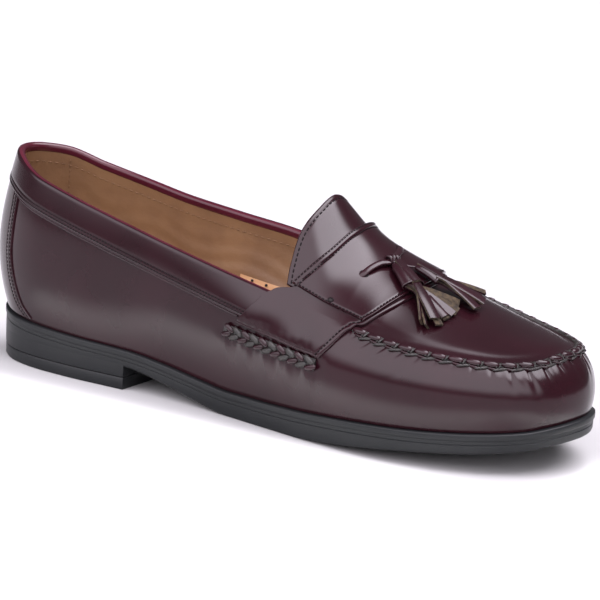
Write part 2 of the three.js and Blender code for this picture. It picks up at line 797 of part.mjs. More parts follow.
function tubeAlong(points, radius) {
  const sides = 8;
  const curve = new THREE.CatmullRomCurve3(points);
  const shape = new THREE.Shape();
  for (let k = 0; k < sides; k += 1) {
    const angle = (2 * Math.PI * k) / sides;
    const corner = [Math.cos(angle) * radius, Math.sin(angle) * radius];
    if (k === 0) shape.moveTo(...corner);
    else shape.lineTo(...corner);
  }
  return new THREE.ExtrudeGeometry(shape, { steps: TUBE_STEPS, extrudePath: curve });
}

const knotCentre = () => onSurface(KNOT, KNOT_LIFT);

function tasselLace(hole) {
  const radius = LACE_DIAMETER / 2;
  const foot = onSurface(hole, SADDLE_TOP + CLEARANCE + radius / 2);
  const centre = knotCentre();
  const reach = centre.clone().sub(foot);
  const end = foot.clone().addScaledVector(reach, 1 - (KNOT_RADIUS + 2 * CLEARANCE) / reach.length());
  const middle = foot.clone().lerp(end, 0.5);
  middle.z += radius / 2;
  const lace = solidOf(tubeAlong([foot, middle, end], radius));
  return mainBody(lace.subtract(form(SADDLE_TOP + CLEARANCE)));
}

function tasselKnot() {
  const [around, down] = [10, 6];
  const ball = new THREE.SphereGeometry(KNOT_RADIUS, around, down);
  ball.scale(1, 1, KNOT_FLATNESS);
  const centre = knotCentre();
  ball.translate(centre.x, centre.y, centre.z);
  return mainBody(solidOf(ball).subtract(form(SADDLE_TOP + CLEARANCE)));
}

// A flat strip of leather from one ring of corners to the next.
function stripSolid(spine, side, width, thickness) {
  const faces = new Faces();
  const rings = spine.map((p, k) => {
    const before = spine[Math.max(k - 1, 0)];
    const after = spine[Math.min(k + 1, spine.length - 1)];
    const face = side.clone().cross(after.clone().sub(before)).normalize();
    return [
      [-0.5, -0.5],
      [0.5, -0.5],
      [0.5, 0.5],
      [-0.5, 0.5],
    ].map(([a, b]) =>
      faces.add(p.clone().addScaledVector(side, -a * width).addScaledVector(face, b * thickness)),
    );
  });
  return sweptSolid(faces, rings);
}

function tassel({ neck, end, spread }) {
  const centre = knotCentre();
  const throat = onSurface(neck, HEAD_LIFT);
  const way = throat.clone().sub(centre).normalize();
  const top = throat.clone().addScaledVector(way, -HEAD_LENGTH);
  const start = centre.clone().addScaledVector(way, KNOT_RADIUS + CLEARANCE);
  const headTop = start.distanceTo(throat) < HEAD_LENGTH ? start : top;
  const middle = headTop.clone().lerp(throat, 0.5);
  const head = solidOf(tubeAlong([headTop, middle, throat], HEAD_RADIUS));
  const tip = onSurface(end, SADDLE_TOP);
  const down = tip.clone().sub(throat).normalize();
  const side = down.clone().cross(UP).normalize();
  const out = side.clone().cross(down).normalize();
  const strips = FRINGE_LAYERS.flatMap(({ lift, shares }) =>
    shares.map((share) => {
      const base = throat.clone().addScaledVector(down, -1).addScaledVector(side, share * ROOT);
      base.addScaledVector(out, lift * ROOT);
      const turn = down.clone().addScaledVector(side, share * spread).normalize();
      const last = base.clone().addScaledVector(turn, FRINGE_LENGTH);
      const bend = base.clone().lerp(last, 0.5).addScaledVector(out, STRIP_BOW);
      last.addScaledVector(out, lift * STRIP_BOW);
      return stripSolid([base, bend, last], side, STRIP_WIDTH, STRIP_THICKNESS);
    }),
  );
  const whole = strips.reduce((sum, strip) => sum.add(strip), head);
  return mainBody(whole.subtract(form(SADDLE_TOP + CLEARANCE)));
}

// Materials
const leather = (color, roughness) => new THREE.MeshStandardMaterial({ color, roughness, metalness: 0 });
const BURGUNDY = leather(0x3a1a22, 0.28);
const BURGUNDY_TRIM = leather(0x421c26, 0.3);
const LACING = leather(0x2e1a1e, 0.5);
const SOCK = leather(0xe0a878, 0.6);
const SOLE_RUBBER = leather(0x3c3e41, 0.55);

const shoe = new THREE.Group();
const place = (name, solid, material) => {
  const mesh = new THREE.Mesh(geometryOf(solid), material);
  mesh.name = name;
  shoe.add(mesh);
};

place('outsole', outsole(), SOLE_RUBBER);
place('heel_lift', heelLift(), SOLE_RUBBER);
place('insole', insole(), SOCK);
place('upper', upper(), BURGUNDY);
place('tongue', overInstep(TONGUE, -TONGUE_THICKNESS, 0), BURGUNDY);
place('collar_band', collarBand(), BURGUNDY);
place('back_stay', backStay(), BURGUNDY);
place('strap', strap(), BURGUNDY);
place('saddle', overInstep(SADDLE, SADDLE_BOTTOM, SADDLE_TOP), BURGUNDY);
place('apron_seam', apronSeam(), LACING);
place('laced_seam_lateral', lacedSeam(false), LACING);
place('laced_seam_medial', lacedSeam(true), LACING);
place('tassel_lace_lateral', tasselLace(LACE_HOLES.lateral), BURGUNDY_TRIM);
place('tassel_lace_medial', tasselLace(LACE_HOLES.medial), BURGUNDY_TRIM);
place('tassel_knot', tasselKnot(), BURGUNDY_TRIM);
place('tassel_lateral', tassel(TASSELS.lateral), BURGUNDY_TRIM);
place('tassel_medial', tassel(TASSELS.medial), BURGUNDY_TRIM);
shoe.position.x = -ORIGIN_X;

export default shoe;
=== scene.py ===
# A right tassel loafer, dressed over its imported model. The tables hold the part's own form:
# millimetres from the back of the heel, +X to the toe, +Y to the medial side, +Z up.
import math

import bpy
import numpy as np
from mathutils import Matrix, Vector


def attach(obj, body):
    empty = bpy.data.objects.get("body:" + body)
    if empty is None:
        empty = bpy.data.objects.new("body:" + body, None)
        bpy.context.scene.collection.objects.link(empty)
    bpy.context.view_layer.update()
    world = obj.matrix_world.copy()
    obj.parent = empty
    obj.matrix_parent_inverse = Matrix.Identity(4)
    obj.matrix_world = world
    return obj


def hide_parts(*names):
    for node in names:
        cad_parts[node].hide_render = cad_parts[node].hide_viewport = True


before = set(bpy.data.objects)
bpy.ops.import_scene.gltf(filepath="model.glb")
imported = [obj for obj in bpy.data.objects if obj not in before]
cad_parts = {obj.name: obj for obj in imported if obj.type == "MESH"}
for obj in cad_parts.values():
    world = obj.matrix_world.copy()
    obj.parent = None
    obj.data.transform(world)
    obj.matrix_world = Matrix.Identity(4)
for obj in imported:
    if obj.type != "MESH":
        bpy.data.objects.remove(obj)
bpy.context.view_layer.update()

RNG = np.random.default_rng(11)

# The part's own sizes
SOLE_LENGTH = 295.0
BALL_WIDTH = 97.0
BACK_HEIGHT = 99.2
SEAT_HEIGHT = 24.0
HEEL_LENGTH = 86.0
LIFT_THICKNESS = 5.6
WELT_RIB = 2.6
FEATHER_INSET = 2.0
WALL = 2.2
TONGUE_THICKNESS = 1.8
OVERLAY_BASE = 0.3
OVERLAY = 1.0
SADDLE_BASE = 1.6
SADDLE_THICKNESS = 0.9
SOCK_THICKNESS = 2.4
BAND_HEIGHT = 14.5
SEAM_WIDTH = 5.0
SEAM_HEIGHT = 2.2
ORIGIN_X = HEEL_LENGTH / 2
SADDLE_TOP = SADDLE_BASE + SADDLE_THICKNESS
MM = 0.001

SECTION_COLUMNS = (
    "at", "lat", "med", "inLat", "inMed", "upLat", "upMed", "flareLat", "flareMed", "leanLat", "leanMed",
)
SECTIONS = np.array([
    [0.0, 0.0, 0.0, 0.035, 0.035, 1.0, 1.0, 21, 21, 14, 14],
    [0.0126, 0.116, 0.116, 0.038, 0.038, 0.987, 1.0, 20, 20, 14, 14],
    [0.05, 0.233, 0.233, 0.045, 0.045, 0.947, 0.981, 17, 17, 13, 13],
    [0.101, 0.3, 0.3, 0.031, 0.036, 0.901, 0.927, 14, 14, 12, 12],
    [0.181, 0.334, 0.33, 0.021, 0.012, 0.842, 0.868, 12, 12, 12, 12],
    [0.262, 0.339, 0.31, 0.01, -0.01, 0.782, 0.821, 12, 13, 12, 12],
    [0.362, 0.339, 0.267, -0.015, -0.052, 0.715, 0.782, 14, 18, 13, 12],
    [0.463, 0.368, 0.262, -0.005, -0.093, 0.65, 0.737, 16, 22, 17, 14],
    [0.564, 0.426, 0.33, 0.028, -0.035, 0.592, 0.675, 17, 22, 30, 26],
    [0.665, 0.485, 0.446, 0.068, 0.047, 0.523, 0.609, 17, 20, 42, 40],
    [0.725, 0.504, 0.485, 0.073, 0.073, 0.49, 0.582, 17, 18, 50, 48],
    [0.785, 0.499, 0.494, 0.072, 0.072, 0.469, 0.544, 17, 17, 54, 52],
    [0.856, 0.456, 0.47, 0.072, 0.072, 0.456, 0.502, 16, 16, 55, 55],
    [0.916, 0.378, 0.407, 0.074, 0.074, 0.451, 0.479, 15, 15, 55, 55],
    [0.963, 0.267, 0.3, 0.086, 0.086, 0.461, 0.472, 14, 14, 54, 54],
    [0.988, 0.15, 0.174, 0.1, 0.1, 0.479, 0.48, 13, 13, 53, 53],
    [1.0, 0.0, 0.0, 0.104, 0.104, 0.487, 0.487, 13, 13, 53, 53],
])
# at, top, under: shares of SEAT_HEIGHT
SOLE_LINE = np.array([
    [0.0, 1.0, 0.52],
    [0.07, 0.9, 0.49],
    [0.201, 0.81, 0.46],
    [0.292, 0.765, 0.44],
    [0.362, 0.655, 0.29],
    [0.433, 0.52, 0.09],
    [0.483, 0.455, 0.0],
    [0.544, 0.458, 0.0],
    [0.604, 0.48, 0.0],
    [0.665, 0.53, 0.06],
    [0.725, 0.58, 0.145],
    [0.805, 0.64, 0.26],
    [0.886, 0.72, 0.36],
    [0.946, 0.8, 0.46],
    [0.978, 0.89, 0.55],
    [1.0, 0.96, 0.61],
])
# at, height (share of BACK_HEIGHT), power of the arch
RIDGE = np.array([
    [0.554, 1.053, 1.7],
    [0.579, 0.987, 1.7],
    [0.634, 0.824, 1.75],
    [0.705, 0.702, 2.2],
    [0.77, 0.628, 2.2],
    [0.831, 0.569, 2.2],
    [0.886, 0.53, 2.2],
    [0.941, 0.504, 2.2],
    [0.966, 0.487, 2.2],
    [1.0, 0.484, 2.2],
])
# rear s, rear v, front s, front v: s counts sections from the heel, v goes up the lateral wall
# from 0 to 1, over the arch from 1 to 2 and down the medial wall to 3
STRAP = np.array([
    [7.38, 0.64, 8.84, 0.585],
    [7.655, 0.86, 9.1, 0.83],
    [7.83, 0.995, 9.32, 1.0],
    [8.25, 1.06, 9.62, 1.05],
    [8.6, 1.25, 10.08, 1.23],
    [8.7, 1.5, 10.3, 1.5],
    [8.6, 1.75, 10.08, 1.77],
    [8.25, 1.94, 9.62, 1.95],
    [7.83, 2.005, 9.32, 2.0],
    [7.655, 2.14, 9.1, 2.17],
    [7.38, 2.36, 8.84, 2.415],
])
# v, rear s, front s
SADDLE = np.array([
    [1.045, 8.13, 9.52],
    [1.12, 8.26, 9.76],
    [1.24, 8.4, 9.98],
    [1.38, 8.47, 10.12],
    [1.5, 8.5, 10.18],
    [1.62, 8.47, 10.12],
    [1.76, 8.38, 9.98],
    [1.88, 8.26, 9.76],
    [1.955, 8.13, 9.52],
])
TONGUE = np.array([
    [1.035, 8.03, 9.14],
    [1.1, 7.99, 9.14],
    [1.21, 7.98, 9.14],
    [1.37, 8.08, 9.14],
    [1.55, 8.12, 9.14],
    [1.7, 8.06, 9.14],
    [1.85, 7.99, 9.14],
    [1.965, 8.03, 9.14],
])
# v, how many sections the stay reaches round to each side of the heel
STAY = np.array([
    [0.02, 3.04],
    [0.1, 2.66],
    [0.24, 2.4],
    [0.41, 2.24],
    [0.57, 2.2],
    [0.7, 2.17],
    [0.795, 2.13],
    [0.85, 2.1],
])
THROAT = 9.0
LACED_LINE = np.array([[7.2, 0.55], [8.8, 0.51]])
LAST = len(SECTIONS) - 1
AROUND = 2 * LAST
UP = np.array([0, 0, 1.0])
# How far the wall's curve bulges, and where the crease along the arch begins and ends
BULGE = 0.38
CREASE_START = 8.3
CREASE_END = LAST - 0.2


# Form
def unit(vectors):
    return vectors / np.linalg.norm(vectors, axis=-1, keepdims=True)


def catmull_rom(a, b, c, d, t):
    return 0.5 * (2 * b + (c - a) * t + (2 * a - 5 * b + 4 * c - d) * t**2 + (3 * b - a - 3 * c + d) * t**3)


def along(table, column, x):
    """A table column read at x millimetres, smooth and without overshoot."""
    at, value = table[:, 0], table[:, column]
    share = np.clip(np.asarray(x, float) / SOLE_LENGTH, at[0], at[-1])
    k = np.clip(np.searchsorted(at, share, side="right") - 1, 0, len(at) - 2)
    secant = np.diff(value) / np.diff(at)
    before, after = secant[:-1], secant[1:]
    total = np.where(before + after == 0, 1, before + after)
    inner = np.where(before * after <= 0, 0, 2 * before * after / total)
    slope = np.concatenate([secant[:1], inner, secant[-1:]])
    span = at[k + 1] - at[k]
    t = (share - at[k]) / span
    return (
        (2 * t**3 - 3 * t**2 + 1) * value[k]
        + (t**3 - 2 * t**2 + t) * span * slope[k]
        + (3 * t**2 - 2 * t**3) * value[k + 1]
        + (t**3 - t**2) * span * slope[k + 1]
    )


def sole_top(x):
    return along(SOLE_LINE, 1, x) * SEAT_HEIGHT


def slab_under(x):
    return along(SOLE_LINE, 2, x) * SEAT_HEIGHT


def loop_column(lateral, medial):
    lat = SECTIONS[:, SECTION_COLUMNS.index(lateral)]
    med = SECTIONS[:, SECTION_COLUMNS.index(medial)]
    return np.concatenate([lat, med[-2:0:-1]])


def column(s, lateral, medial):
    value = loop_column(lateral, medial)
    at = np.asarray(s, float) % AROUND
    k = np.floor(at).astype(int)
    return catmull_rom(*(value[(k + j) % AROUND] for j in (-1, 0, 1, 2)), at - k)


LOOP = np.column_stack([
    loop_column("at", "at") * SOLE_LENGTH,
    np.concatenate([-SECTIONS[:, 1], SECTIONS[-2:0:-1, 2]]) * BALL_WIDTH,
])


def outline(s):
    """The sole's outline: a centripetal curve through the sections."""
    at = np.asarray(s, float) % AROUND
    k = np.floor(at).astype(int)
    t = (at - k)[..., None]
    a, b, c, d = (LOOP[(k + j) % AROUND] for j in (-1, 0, 1, 2))
    gap = [np.sqrt(np.linalg.norm(q - p, axis=-1, keepdims=True)) for p, q in ((a, b), (b, c), (c, d))]
    m1 = ((b - a) / gap[0] - (c - a) / (gap[0] + gap[1]) + (c - b) / gap[1]) * gap[1]
    m2 = ((c - b) / gap[1] - (d - b) / (gap[1] + gap[2]) + (d - c) / gap[2]) * gap[1]
    return b + m1 * t + (-3 * b + 3 * c - 2 * m1 - m2) * t**2 + (2 * b - 2 * c + m1 + m2) * t**3


def outline_normal(s):
    d = unit(outline(np.asarray(s) + 1e-3) - outline(np.asarray(s) - 1e-3))
    return np.stack([d[..., 1], -d[..., 0], np.zeros(d.shape[:-1])], -1)


def flat3(p, z):
    return np.concatenate([p[..., :2], np.broadcast_to(z, p.shape[:-1])[..., None]], -1)


def top_edge(s):
    inset = (column(s, "inLat", "inMed") * BALL_WIDTH)[..., None]
    p = flat3(outline(s), 0) - outline_normal(s) * inset
    return flat3(p, column(s, "upLat", "upMed") * BACK_HEIGHT)


def wall(s, v):
    edge, n = outline(s), outline_normal(s)
    foot = flat3(edge, sole_top(edge[..., 0]) + OVERLAY_BASE) - n * FEATHER_INSET
    top = top_edge(s)
    reach = np.linalg.norm(top - foot, axis=-1, keepdims=True) * BULGE
    flare = np.radians(column(s, "flareLat", "flareMed"))[..., None]
    lean = np.radians(column(s, "leanLat", "leanMed"))[..., None]
    low = foot + (n * np.sin(flare) + UP * np.cos(flare)) * reach
    high = top + (n * np.sin(lean) - UP * np.cos(lean)) * reach
    v = np.asarray(v)[..., None]
    w = 1 - v
    return foot * w**3 + 3 * low * w * w * v + 3 * high * w * v * v + top * v**3


def arch(s, t):
    a, b = top_edge(s), top_edge(AROUND - s)
    middle = (a[..., 0] + b[..., 0]) / 2
    f = ((t + 1) / 2)[..., None]
    p = a * (1 - f) + b * f
    rise = along(RIDGE, 1, middle) * BACK_HEIGHT - (a[..., 2] + b[..., 2]) / 2
    p[..., 2] += rise * (1 - np.abs(t) ** along(RIDGE, 2, middle))
    return p


def surface(s, v):
    s, v = np.broadcast_arrays(np.asarray(s, float), np.asarray(v, float))
    lateral = wall(s, np.clip(v, 0, 1))
    over = arch(s, np.clip(2 * v - 3, -1, 1))
    medial = wall(AROUND - s, np.clip(3 - v, 0, 1))
    return np.where((v <= 1)[..., None], lateral, np.where((v < 2)[..., None], over, medial))


def normal(s, v, smooth=0.03):
    """The way out of the surface; near the crease at the top edge it is the mean of both sides."""
    s, v = np.broadcast_arrays(np.asarray(s, float), np.asarray(v, float))
    inside = (v > 1) & (v < 2)
    at = np.where(inside, np.minimum(s, CREASE_END), s)
    creased = (at > CREASE_START) & (at < CREASE_END)
    low_end = np.where(inside & ~creased, 1.0, 0.0)
    high_end = np.where(creased, 3.0, np.where(inside, 2.0, np.where(v <= 1, 1.0, 3.0)))
    low_end = np.where(~creased & (v >= 2), 2.0, low_end)
    ds = surface(at + 0.02, v) - surface(at - 0.02, v)
    above, below = (surface(at, np.clip(v + step, low_end, high_end)) for step in (smooth, -smooth))
    return unit(np.cross(ds, above - below))


def place(s, v, lift):
    lift = np.broadcast_to(lift, np.broadcast(s, v).shape)
    return surface(s, v) + normal(s, v) * lift[..., None]


def wall_length(s):
    return np.linalg.norm(wall(s, np.ones_like(s)) - wall(s, np.zeros_like(s)), axis=-1)


def smooth_rows(table, steps):
    """The rows of a table joined by a smooth curve, in that many steps."""
    at = np.linspace(0, len(table) - 1, steps)
    k = np.clip(np.floor(at).astype(int), 0, len(table) - 2)
    padded = np.vstack([2 * table[0] - table[1], table, 2 * table[-1] - table[-2]])
    return catmull_rom(*(padded[k + j] for j in (0, 1, 2, 3)), (at - k)[:, None])


def gathered(count, ends=True):
    """Shares from 0 to 1 that lie closer near both ends, or near 0 alone."""
    x = np.linspace(0, 1, count)
    return 0.5 - 0.5 * np.cos(np.pi * x) if ends else 1 - np.cos(np.pi / 2 * x)


def lengths(points):
    steps = np.linalg.norm(np.diff(points, axis=0), axis=-1)
    return np.concatenate([np.zeros((1, *steps.shape[1:])), np.cumsum(steps, axis=0)])


def bell(x, width):
    return np.exp(-((x / width) ** 2))


# Meshes
SKIRT = 0.6
GROOVE = 0.2
GROOVE_WIDTH = 0.45


class Pile:
    """Points and faces of one piece, gathered part by part."""

    def __init__(self):
        self.points, self.faces, self.slots, self.count = [], [], [], 0

    def add(self, points, faces, slot=0):
        points = np.asarray(points, float).reshape(-1, 3)
        self.faces += [[i + self.count for i in face] for face in faces]
        self.slots += [slot] * len(faces) if np.isscalar(slot) else list(slot)
        self.points.append(points)
        self.count += len(points)


def grid_faces(rows, columns, close=False):
    width = columns if close else columns - 1
    r, c = np.meshgrid(np.arange(rows - 1), np.arange(width), indexing="ij")
    d = (c + 1) % columns
    quads = np.stack([r * columns + c, r * columns + d, (r + 1) * columns + d, (r + 1) * columns + c], -1)
    return quads.reshape(-1, 4).tolist()


def add_object(name, data):
    obj = bpy.data.objects.new(name, data)
    bpy.context.scene.collection.objects.link(obj)
    return obj


def piece(name, pile, materials, slot, *nodes, angle=75):
    """A piece of the shoe, in place of the named CAD nodes; edges over the angle stay sharp."""
    mesh = bpy.data.meshes.new(name)
    points = (np.concatenate(pile.points) - [ORIGIN_X, 0, 0]) * MM
    mesh.from_pydata(points.tolist(), [], pile.faces)
    for material in materials:
        mesh.materials.append(material)
    mesh.polygons.foreach_set("material_index", np.array(pile.slots, np.int32))
    mesh.shade_smooth()
    mesh.set_sharp_from_angle(angle=math.radians(angle))
    obj = add_object(name, mesh)
    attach(obj, "root")
    if nodes:
        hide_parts(*nodes)
    return obj


def panel(s, v, base, thick, folds, grooves=(), relief=0.0):
    """A leather panel over a grid of places, its edges rounded down to base."""
    p, n = surface(s, v), normal(s, v)
    across = lengths(np.swapaxes(p, 0, 1)).T
    down = lengths(p)
    reach = {"left": across, "right": across[:, -1:] - across, "first": down, "last": down[-1:] - down}
    lift = np.full(s.shape, thick)
    for side, radius in folds.items():
        share = np.clip(reach[side] / radius, 0, 1)
        lift = np.minimum(lift, thick * np.sqrt(1 - (1 - share) ** 2))
    for side, at, depth, width in grooves:
        lift = lift - depth * bell(reach[side] - at, width)
    return p + n * (base + lift + relief)[..., None], p + n * (base - SKIRT), reach


def add_panel(pile, top, under, slot=0):
    """The panel's face, and a skirt down from its border."""
    rows, columns = top.shape[:2]
    pile.add(top, grid_faces(rows, columns), slot)
    ring = [(0, c) for c in range(columns)] + [(r, columns - 1) for r in range(1, rows)]
    ring += [(rows - 1, c) for c in range(columns - 2, -1, -1)] + [(r, 0) for r in range(rows - 2, 0, -1)]
    index = tuple(np.array(ring).T)
    pile.add(np.stack([under[index], top[index]]), grid_faces(2, len(ring), close=True), slot)


def trace(s, v, reach, distance):
    """Where each row of a grid lies that far in from a side, as places."""
    order = 1 if reach[0, 0] < reach[0, -1] else -1
    return [
        np.array([np.interp(distance, r[::order], x[::order]) for r, x in zip(reach, value)])
        for value in (s, v)
    ]


def read_path(x, at, path):
    """A path read at lengths x, where at holds the length up to each of its points."""
    return np.stack([np.interp(x, at, path[:, k]) for k in range(3)], -1)


def evenly(points, normals, pitch, lead=0.0):
    """Points at an even pitch along a path, with its direction and the way out."""
    at = lengths(points)
    count = max(int((at[-1] - 2 * lead) / pitch), 2)
    goal = lead + (np.arange(count) + 0.5) * (at[-1] - 2 * lead) / count
    way = unit(read_path(goal + 0.3, at, points) - read_path(goal - 0.3, at, points))
    side = unit(np.cross(read_path(goal, at, normals), way))
    return read_path(goal, at, points), way, side, np.cross(way, side)


# Along a bead of length 1: the place of each ring, and its share of the full thickness
BEAD = np.array([
    [-0.5, 0.0],
    [-0.42, 0.75],
    [-0.2, 1.0],
    [0.2, 1.0],
    [0.42, 0.75],
    [0.5, 0.0],
])


def add_beads(pile, frames, length, width, height, turn=0.0, sides=6, slot=0):
    """One rounded bead at each frame: thread stitches, bars and loops of lace."""
    angle = np.arange(sides) * 2 * math.pi / sides
    ahead = BEAD[:, :1] * length + 0 * angle
    beside = BEAD[:, 1:] * np.cos(angle) * width / 2
    above = (BEAD[:, 1:] * np.sin(angle) * height / 2)[..., None]
    x = (ahead * math.cos(turn) - beside * math.sin(turn))[..., None]
    y = (ahead * math.sin(turn) + beside * math.cos(turn))[..., None]
    faces = grid_faces(len(BEAD), sides, close=True)
    for middle, way, side, out in zip(*frames):
        pile.add(middle + x * way + y * side + above * out, faces, slot)


def stitch_row(pile, s, v, lift, pitch=1.75, length=1.25, width=0.68, lead=1.0, slot=0):
    points = place(s, v, lift)
    add_beads(pile, evenly(points, normal(s, v), pitch, lead), length, width, width * 0.8, slot=slot)


def add_tube(pile, points, outs, wide, high, sides=12, slot=0, caps=True):
    """A tube of oval section along points; wide and high may change along it."""
    n = len(points)
    way = unit(np.gradient(points, axis=0))
    side = unit(np.cross(outs, way))
    out = np.cross(way, side)
    angle = np.arange(sides) * 2 * math.pi / sides
    wide, high = (np.broadcast_to(np.asarray(value, float), n)[:, None, None] / 2 for value in (wide, high))
    cosine, sine = np.cos(angle)[None, :, None], np.sin(angle)[None, :, None]
    rings = points[:, None] + side[:, None] * cosine * wide + out[:, None] * sine * high
    pile.add(rings, grid_faces(n, sides, close=True), slot)
    if caps:
        for end, ring in ((points[0], rings[0]), (points[-1], rings[-1])):
            pile.add(np.vstack([ring, end]), [[j, (j + 1) % sides, sides] for j in range(sides)], slot)


# Materials
def shader(name, base, roughness, **inputs):
    material = bpy.data.materials.new(name)
    material.use_nodes = True
    bsdf = material.node_tree.nodes["Principled BSDF"]
    bsdf.inputs["Base Color"].default_value = (*base, 1)
    bsdf.inputs["Roughness"].default_value = roughness
    for key, value in inputs.items():
        bsdf.inputs[key.replace("_", " ")].default_value = value
    return material, material.node_tree, bsdf


def link(tree, a, output, b, socket):
    tree.links.new(a.outputs[output], b.inputs[socket])


def noise_at(tree, scale, detail):
    where = tree.nodes.new("ShaderNodeTexCoord")
    noise = tree.nodes.new("ShaderNodeTexNoise")
    noise.inputs["Scale"].default_value = scale
    noise.inputs["Detail"].default_value = detail
    link(tree, where, "Object", noise, "Vector")
    return noise


def add_bump(tree, bsdf, noise, strength, distance, before=None):
    bump = tree.nodes.new("ShaderNodeBump")
    bump.inputs["Strength"].default_value = strength
    bump.inputs["Distance"].default_value = distance
    link(tree, noise, "Fac", bump, "Height")
    if before:
        link(tree, before, "Normal", bump, "Normal")
    link(tree, bump, "Normal", bsdf, "Normal")
    return bump


def tint(tree, bsdf, noise, low, high):
    """Colours from low to high over the middle part of the noise."""
    ramp = tree.nodes.new("ShaderNodeValToRGB")
    for element, position, colour in zip(ramp.color_ramp.elements, (0.35, 0.65), (low, high)):
        element.position = position
        element.color = (*colour, 1)
    link(tree, noise, "Fac", ramp, "Fac")
    link(tree, ramp, "Color", bsdf, "Base Color")


def polished_leather(name, low, high, coat_roughness):
    """A dark base that hardly shines by itself, under a clear polish."""
    material, tree, bsdf = shader(
        name, low, 0.5, Specular_IOR_Level=0.03,
        Coat_Weight=1.0, Coat_Roughness=coat_roughness, Coat_IOR=1.37,
    )
    tint(tree, bsdf, noise_at(tree, 30, 4), low, high)
    grain = add_bump(tree, bsdf, noise_at(tree, 1900, 2), 0.05, 0.0002)
    add_bump(tree, bsdf, noise_at(tree, 120, 3), 0.06, 0.0008, grain)
    return material


def plain_leather(name, low, high, roughness, scale, strength, **inputs):
    material, tree, bsdf = shader(name, low, roughness, **inputs)
    tint(tree, bsdf, noise_at(tree, scale, 5), low, high)
    add_bump(tree, bsdf, noise_at(tree, scale * 8, 4), strength, 0.0005)
    return material


BURGUNDY = polished_leather("burgundy_leather", (0.011, 0.0018, 0.0036), (0.015, 0.0026, 0.005), 0.17)
TRIM = polished_leather("burgundy_trim", (0.011, 0.0024, 0.0042), (0.021, 0.0052, 0.0085), 0.22)
BINDING = polished_leather("wine_binding", (0.045, 0.005, 0.011), (0.06, 0.008, 0.016), 0.17)
LINING = plain_leather("tan_lining", (0.145, 0.076, 0.036), (0.18, 0.098, 0.046), 0.5, 60, 0.3)
SOCK = plain_leather("peach_sock", (0.46, 0.26, 0.13), (0.54, 0.32, 0.17), 0.6, 40, 0.25)
SUEDE = plain_leather("olive_suede", (0.016, 0.010, 0.006), (0.075, 0.052, 0.027), 0.95, 700, 1.0)
LACE = plain_leather("dark_lace", (0.006, 0.005, 0.0045), (0.016, 0.013, 0.011), 0.34, 500, 0.5)
THREAD = plain_leather(
    "dark_thread", (0.003, 0.0015, 0.002), (0.008, 0.004, 0.005), 0.6, 900, 0.4, Specular_IOR_Level=0.12,
)
LINING_THREAD = plain_leather("tan_thread", (0.12, 0.06, 0.025), (0.18, 0.09, 0.04), 0.7, 900, 0.3)
HOLE = shader("hole_shade", (0.004, 0.002, 0.002), 0.9)[0]
RUBBER = plain_leather(
    "charcoal_sole", (0.007, 0.008, 0.009), (0.011, 0.012, 0.013), 0.42, 20, 0.12, Specular_IOR_Level=0.25,
)
FLOOR = shader("pale_floor", (0.41, 0.41, 0.41), 0.8)[0]

# Camera: the photograph's view, solved from the shoe's outline
CAMERA = {
    "azimuth": 27.97, "elevation": 12.37, "roll": 4.42, "distance": 852.9,
    "target": (155.54, 0.0, 46.58), "focal_px": 1923.0, "centre_px": (299.12, 304.82), "frame_px": 600.0,
}


def add_camera():
    a, e, roll = (math.radians(CAMERA[key]) for key in ("azimuth", "elevation", "roll"))
    back = Vector((math.sin(a) * math.cos(e), -math.cos(a) * math.cos(e), math.sin(e)))
    right = Vector((math.cos(a), math.sin(a), 0))
    up = back.cross(right)
    right, up = right * math.cos(roll) + up * math.sin(roll), up * math.cos(roll) - right * math.sin(roll)
    target = Vector(CAMERA["target"]) - Vector((ORIGIN_X, 0, 0))
    data = bpy.data.cameras.new("camera")
    data.sensor_width = 36.0
    data.lens = data.sensor_width * CAMERA["focal_px"] / CAMERA["frame_px"]
    data.shift_x = 0.5 - CAMERA["centre_px"][0] / CAMERA["frame_px"]
    data.shift_y = CAMERA["centre_px"][1] / CAMERA["frame_px"] - 0.5
    data.clip_start, data.clip_end = 0.05, 50
    camera = add_object("camera", data)
    matrix = Matrix((right, up, back)).transposed().to_4x4()
    matrix.translation = (target + back * CAMERA["distance"]) * MM
    camera.matrix_world = matrix
    bpy.context.scene.camera = camera


FLOOR_SIZE = 60.0


def add_floor():
    mesh = bpy.data.meshes.new("floor")
    corners = ((-1, -1), (1, -1), (1, 1), (-1, 1))
    mesh.from_pydata([(x * FLOOR_SIZE, y * FLOOR_SIZE, 0) for x, y in corners], [], [[0, 1, 2, 3]])
    mesh.materials.append(FLOOR)
    add_object("floor", mesh)


# Soft narrow lights that point down, for the floor close to the shoe: place and size in metres
FLOOR_LIGHTS = {
    "floor_side": {"at": (0.09, -0.078, 0.25), "size": (0.34, 0.022), "power": 0.16},
    "floor_toe": {"at": (0.285, -0.03, 0.25), "size": (0.03, 0.1), "power": 0.06},
}
LIGHT_SPREAD = 14


def add_light(name, at, size, power):
    data = bpy.data.lights.new(name, "AREA")
    data.shape = "RECTANGLE"
    data.size, data.size_y = size
    data.energy = power
    data.spread = math.radians(LIGHT_SPREAD)
    add_object(name, data).location = at


# The room, by direction from the shoe: a soft box overhead and a paler one low in front
SOFT_BOX = {"towards": (0.35, 0.1, 0.93), "inner": 0.945, "outer": 0.865, "light": 9.8}
FRONT_BOX = {"light": 3.6, "near": -0.5, "far": -0.15, "low": 0.06, "high": 0.34}
ROOM_LIGHT = 0.12
ROOM_COLOUR = (1.0, 0.95, 1.03)


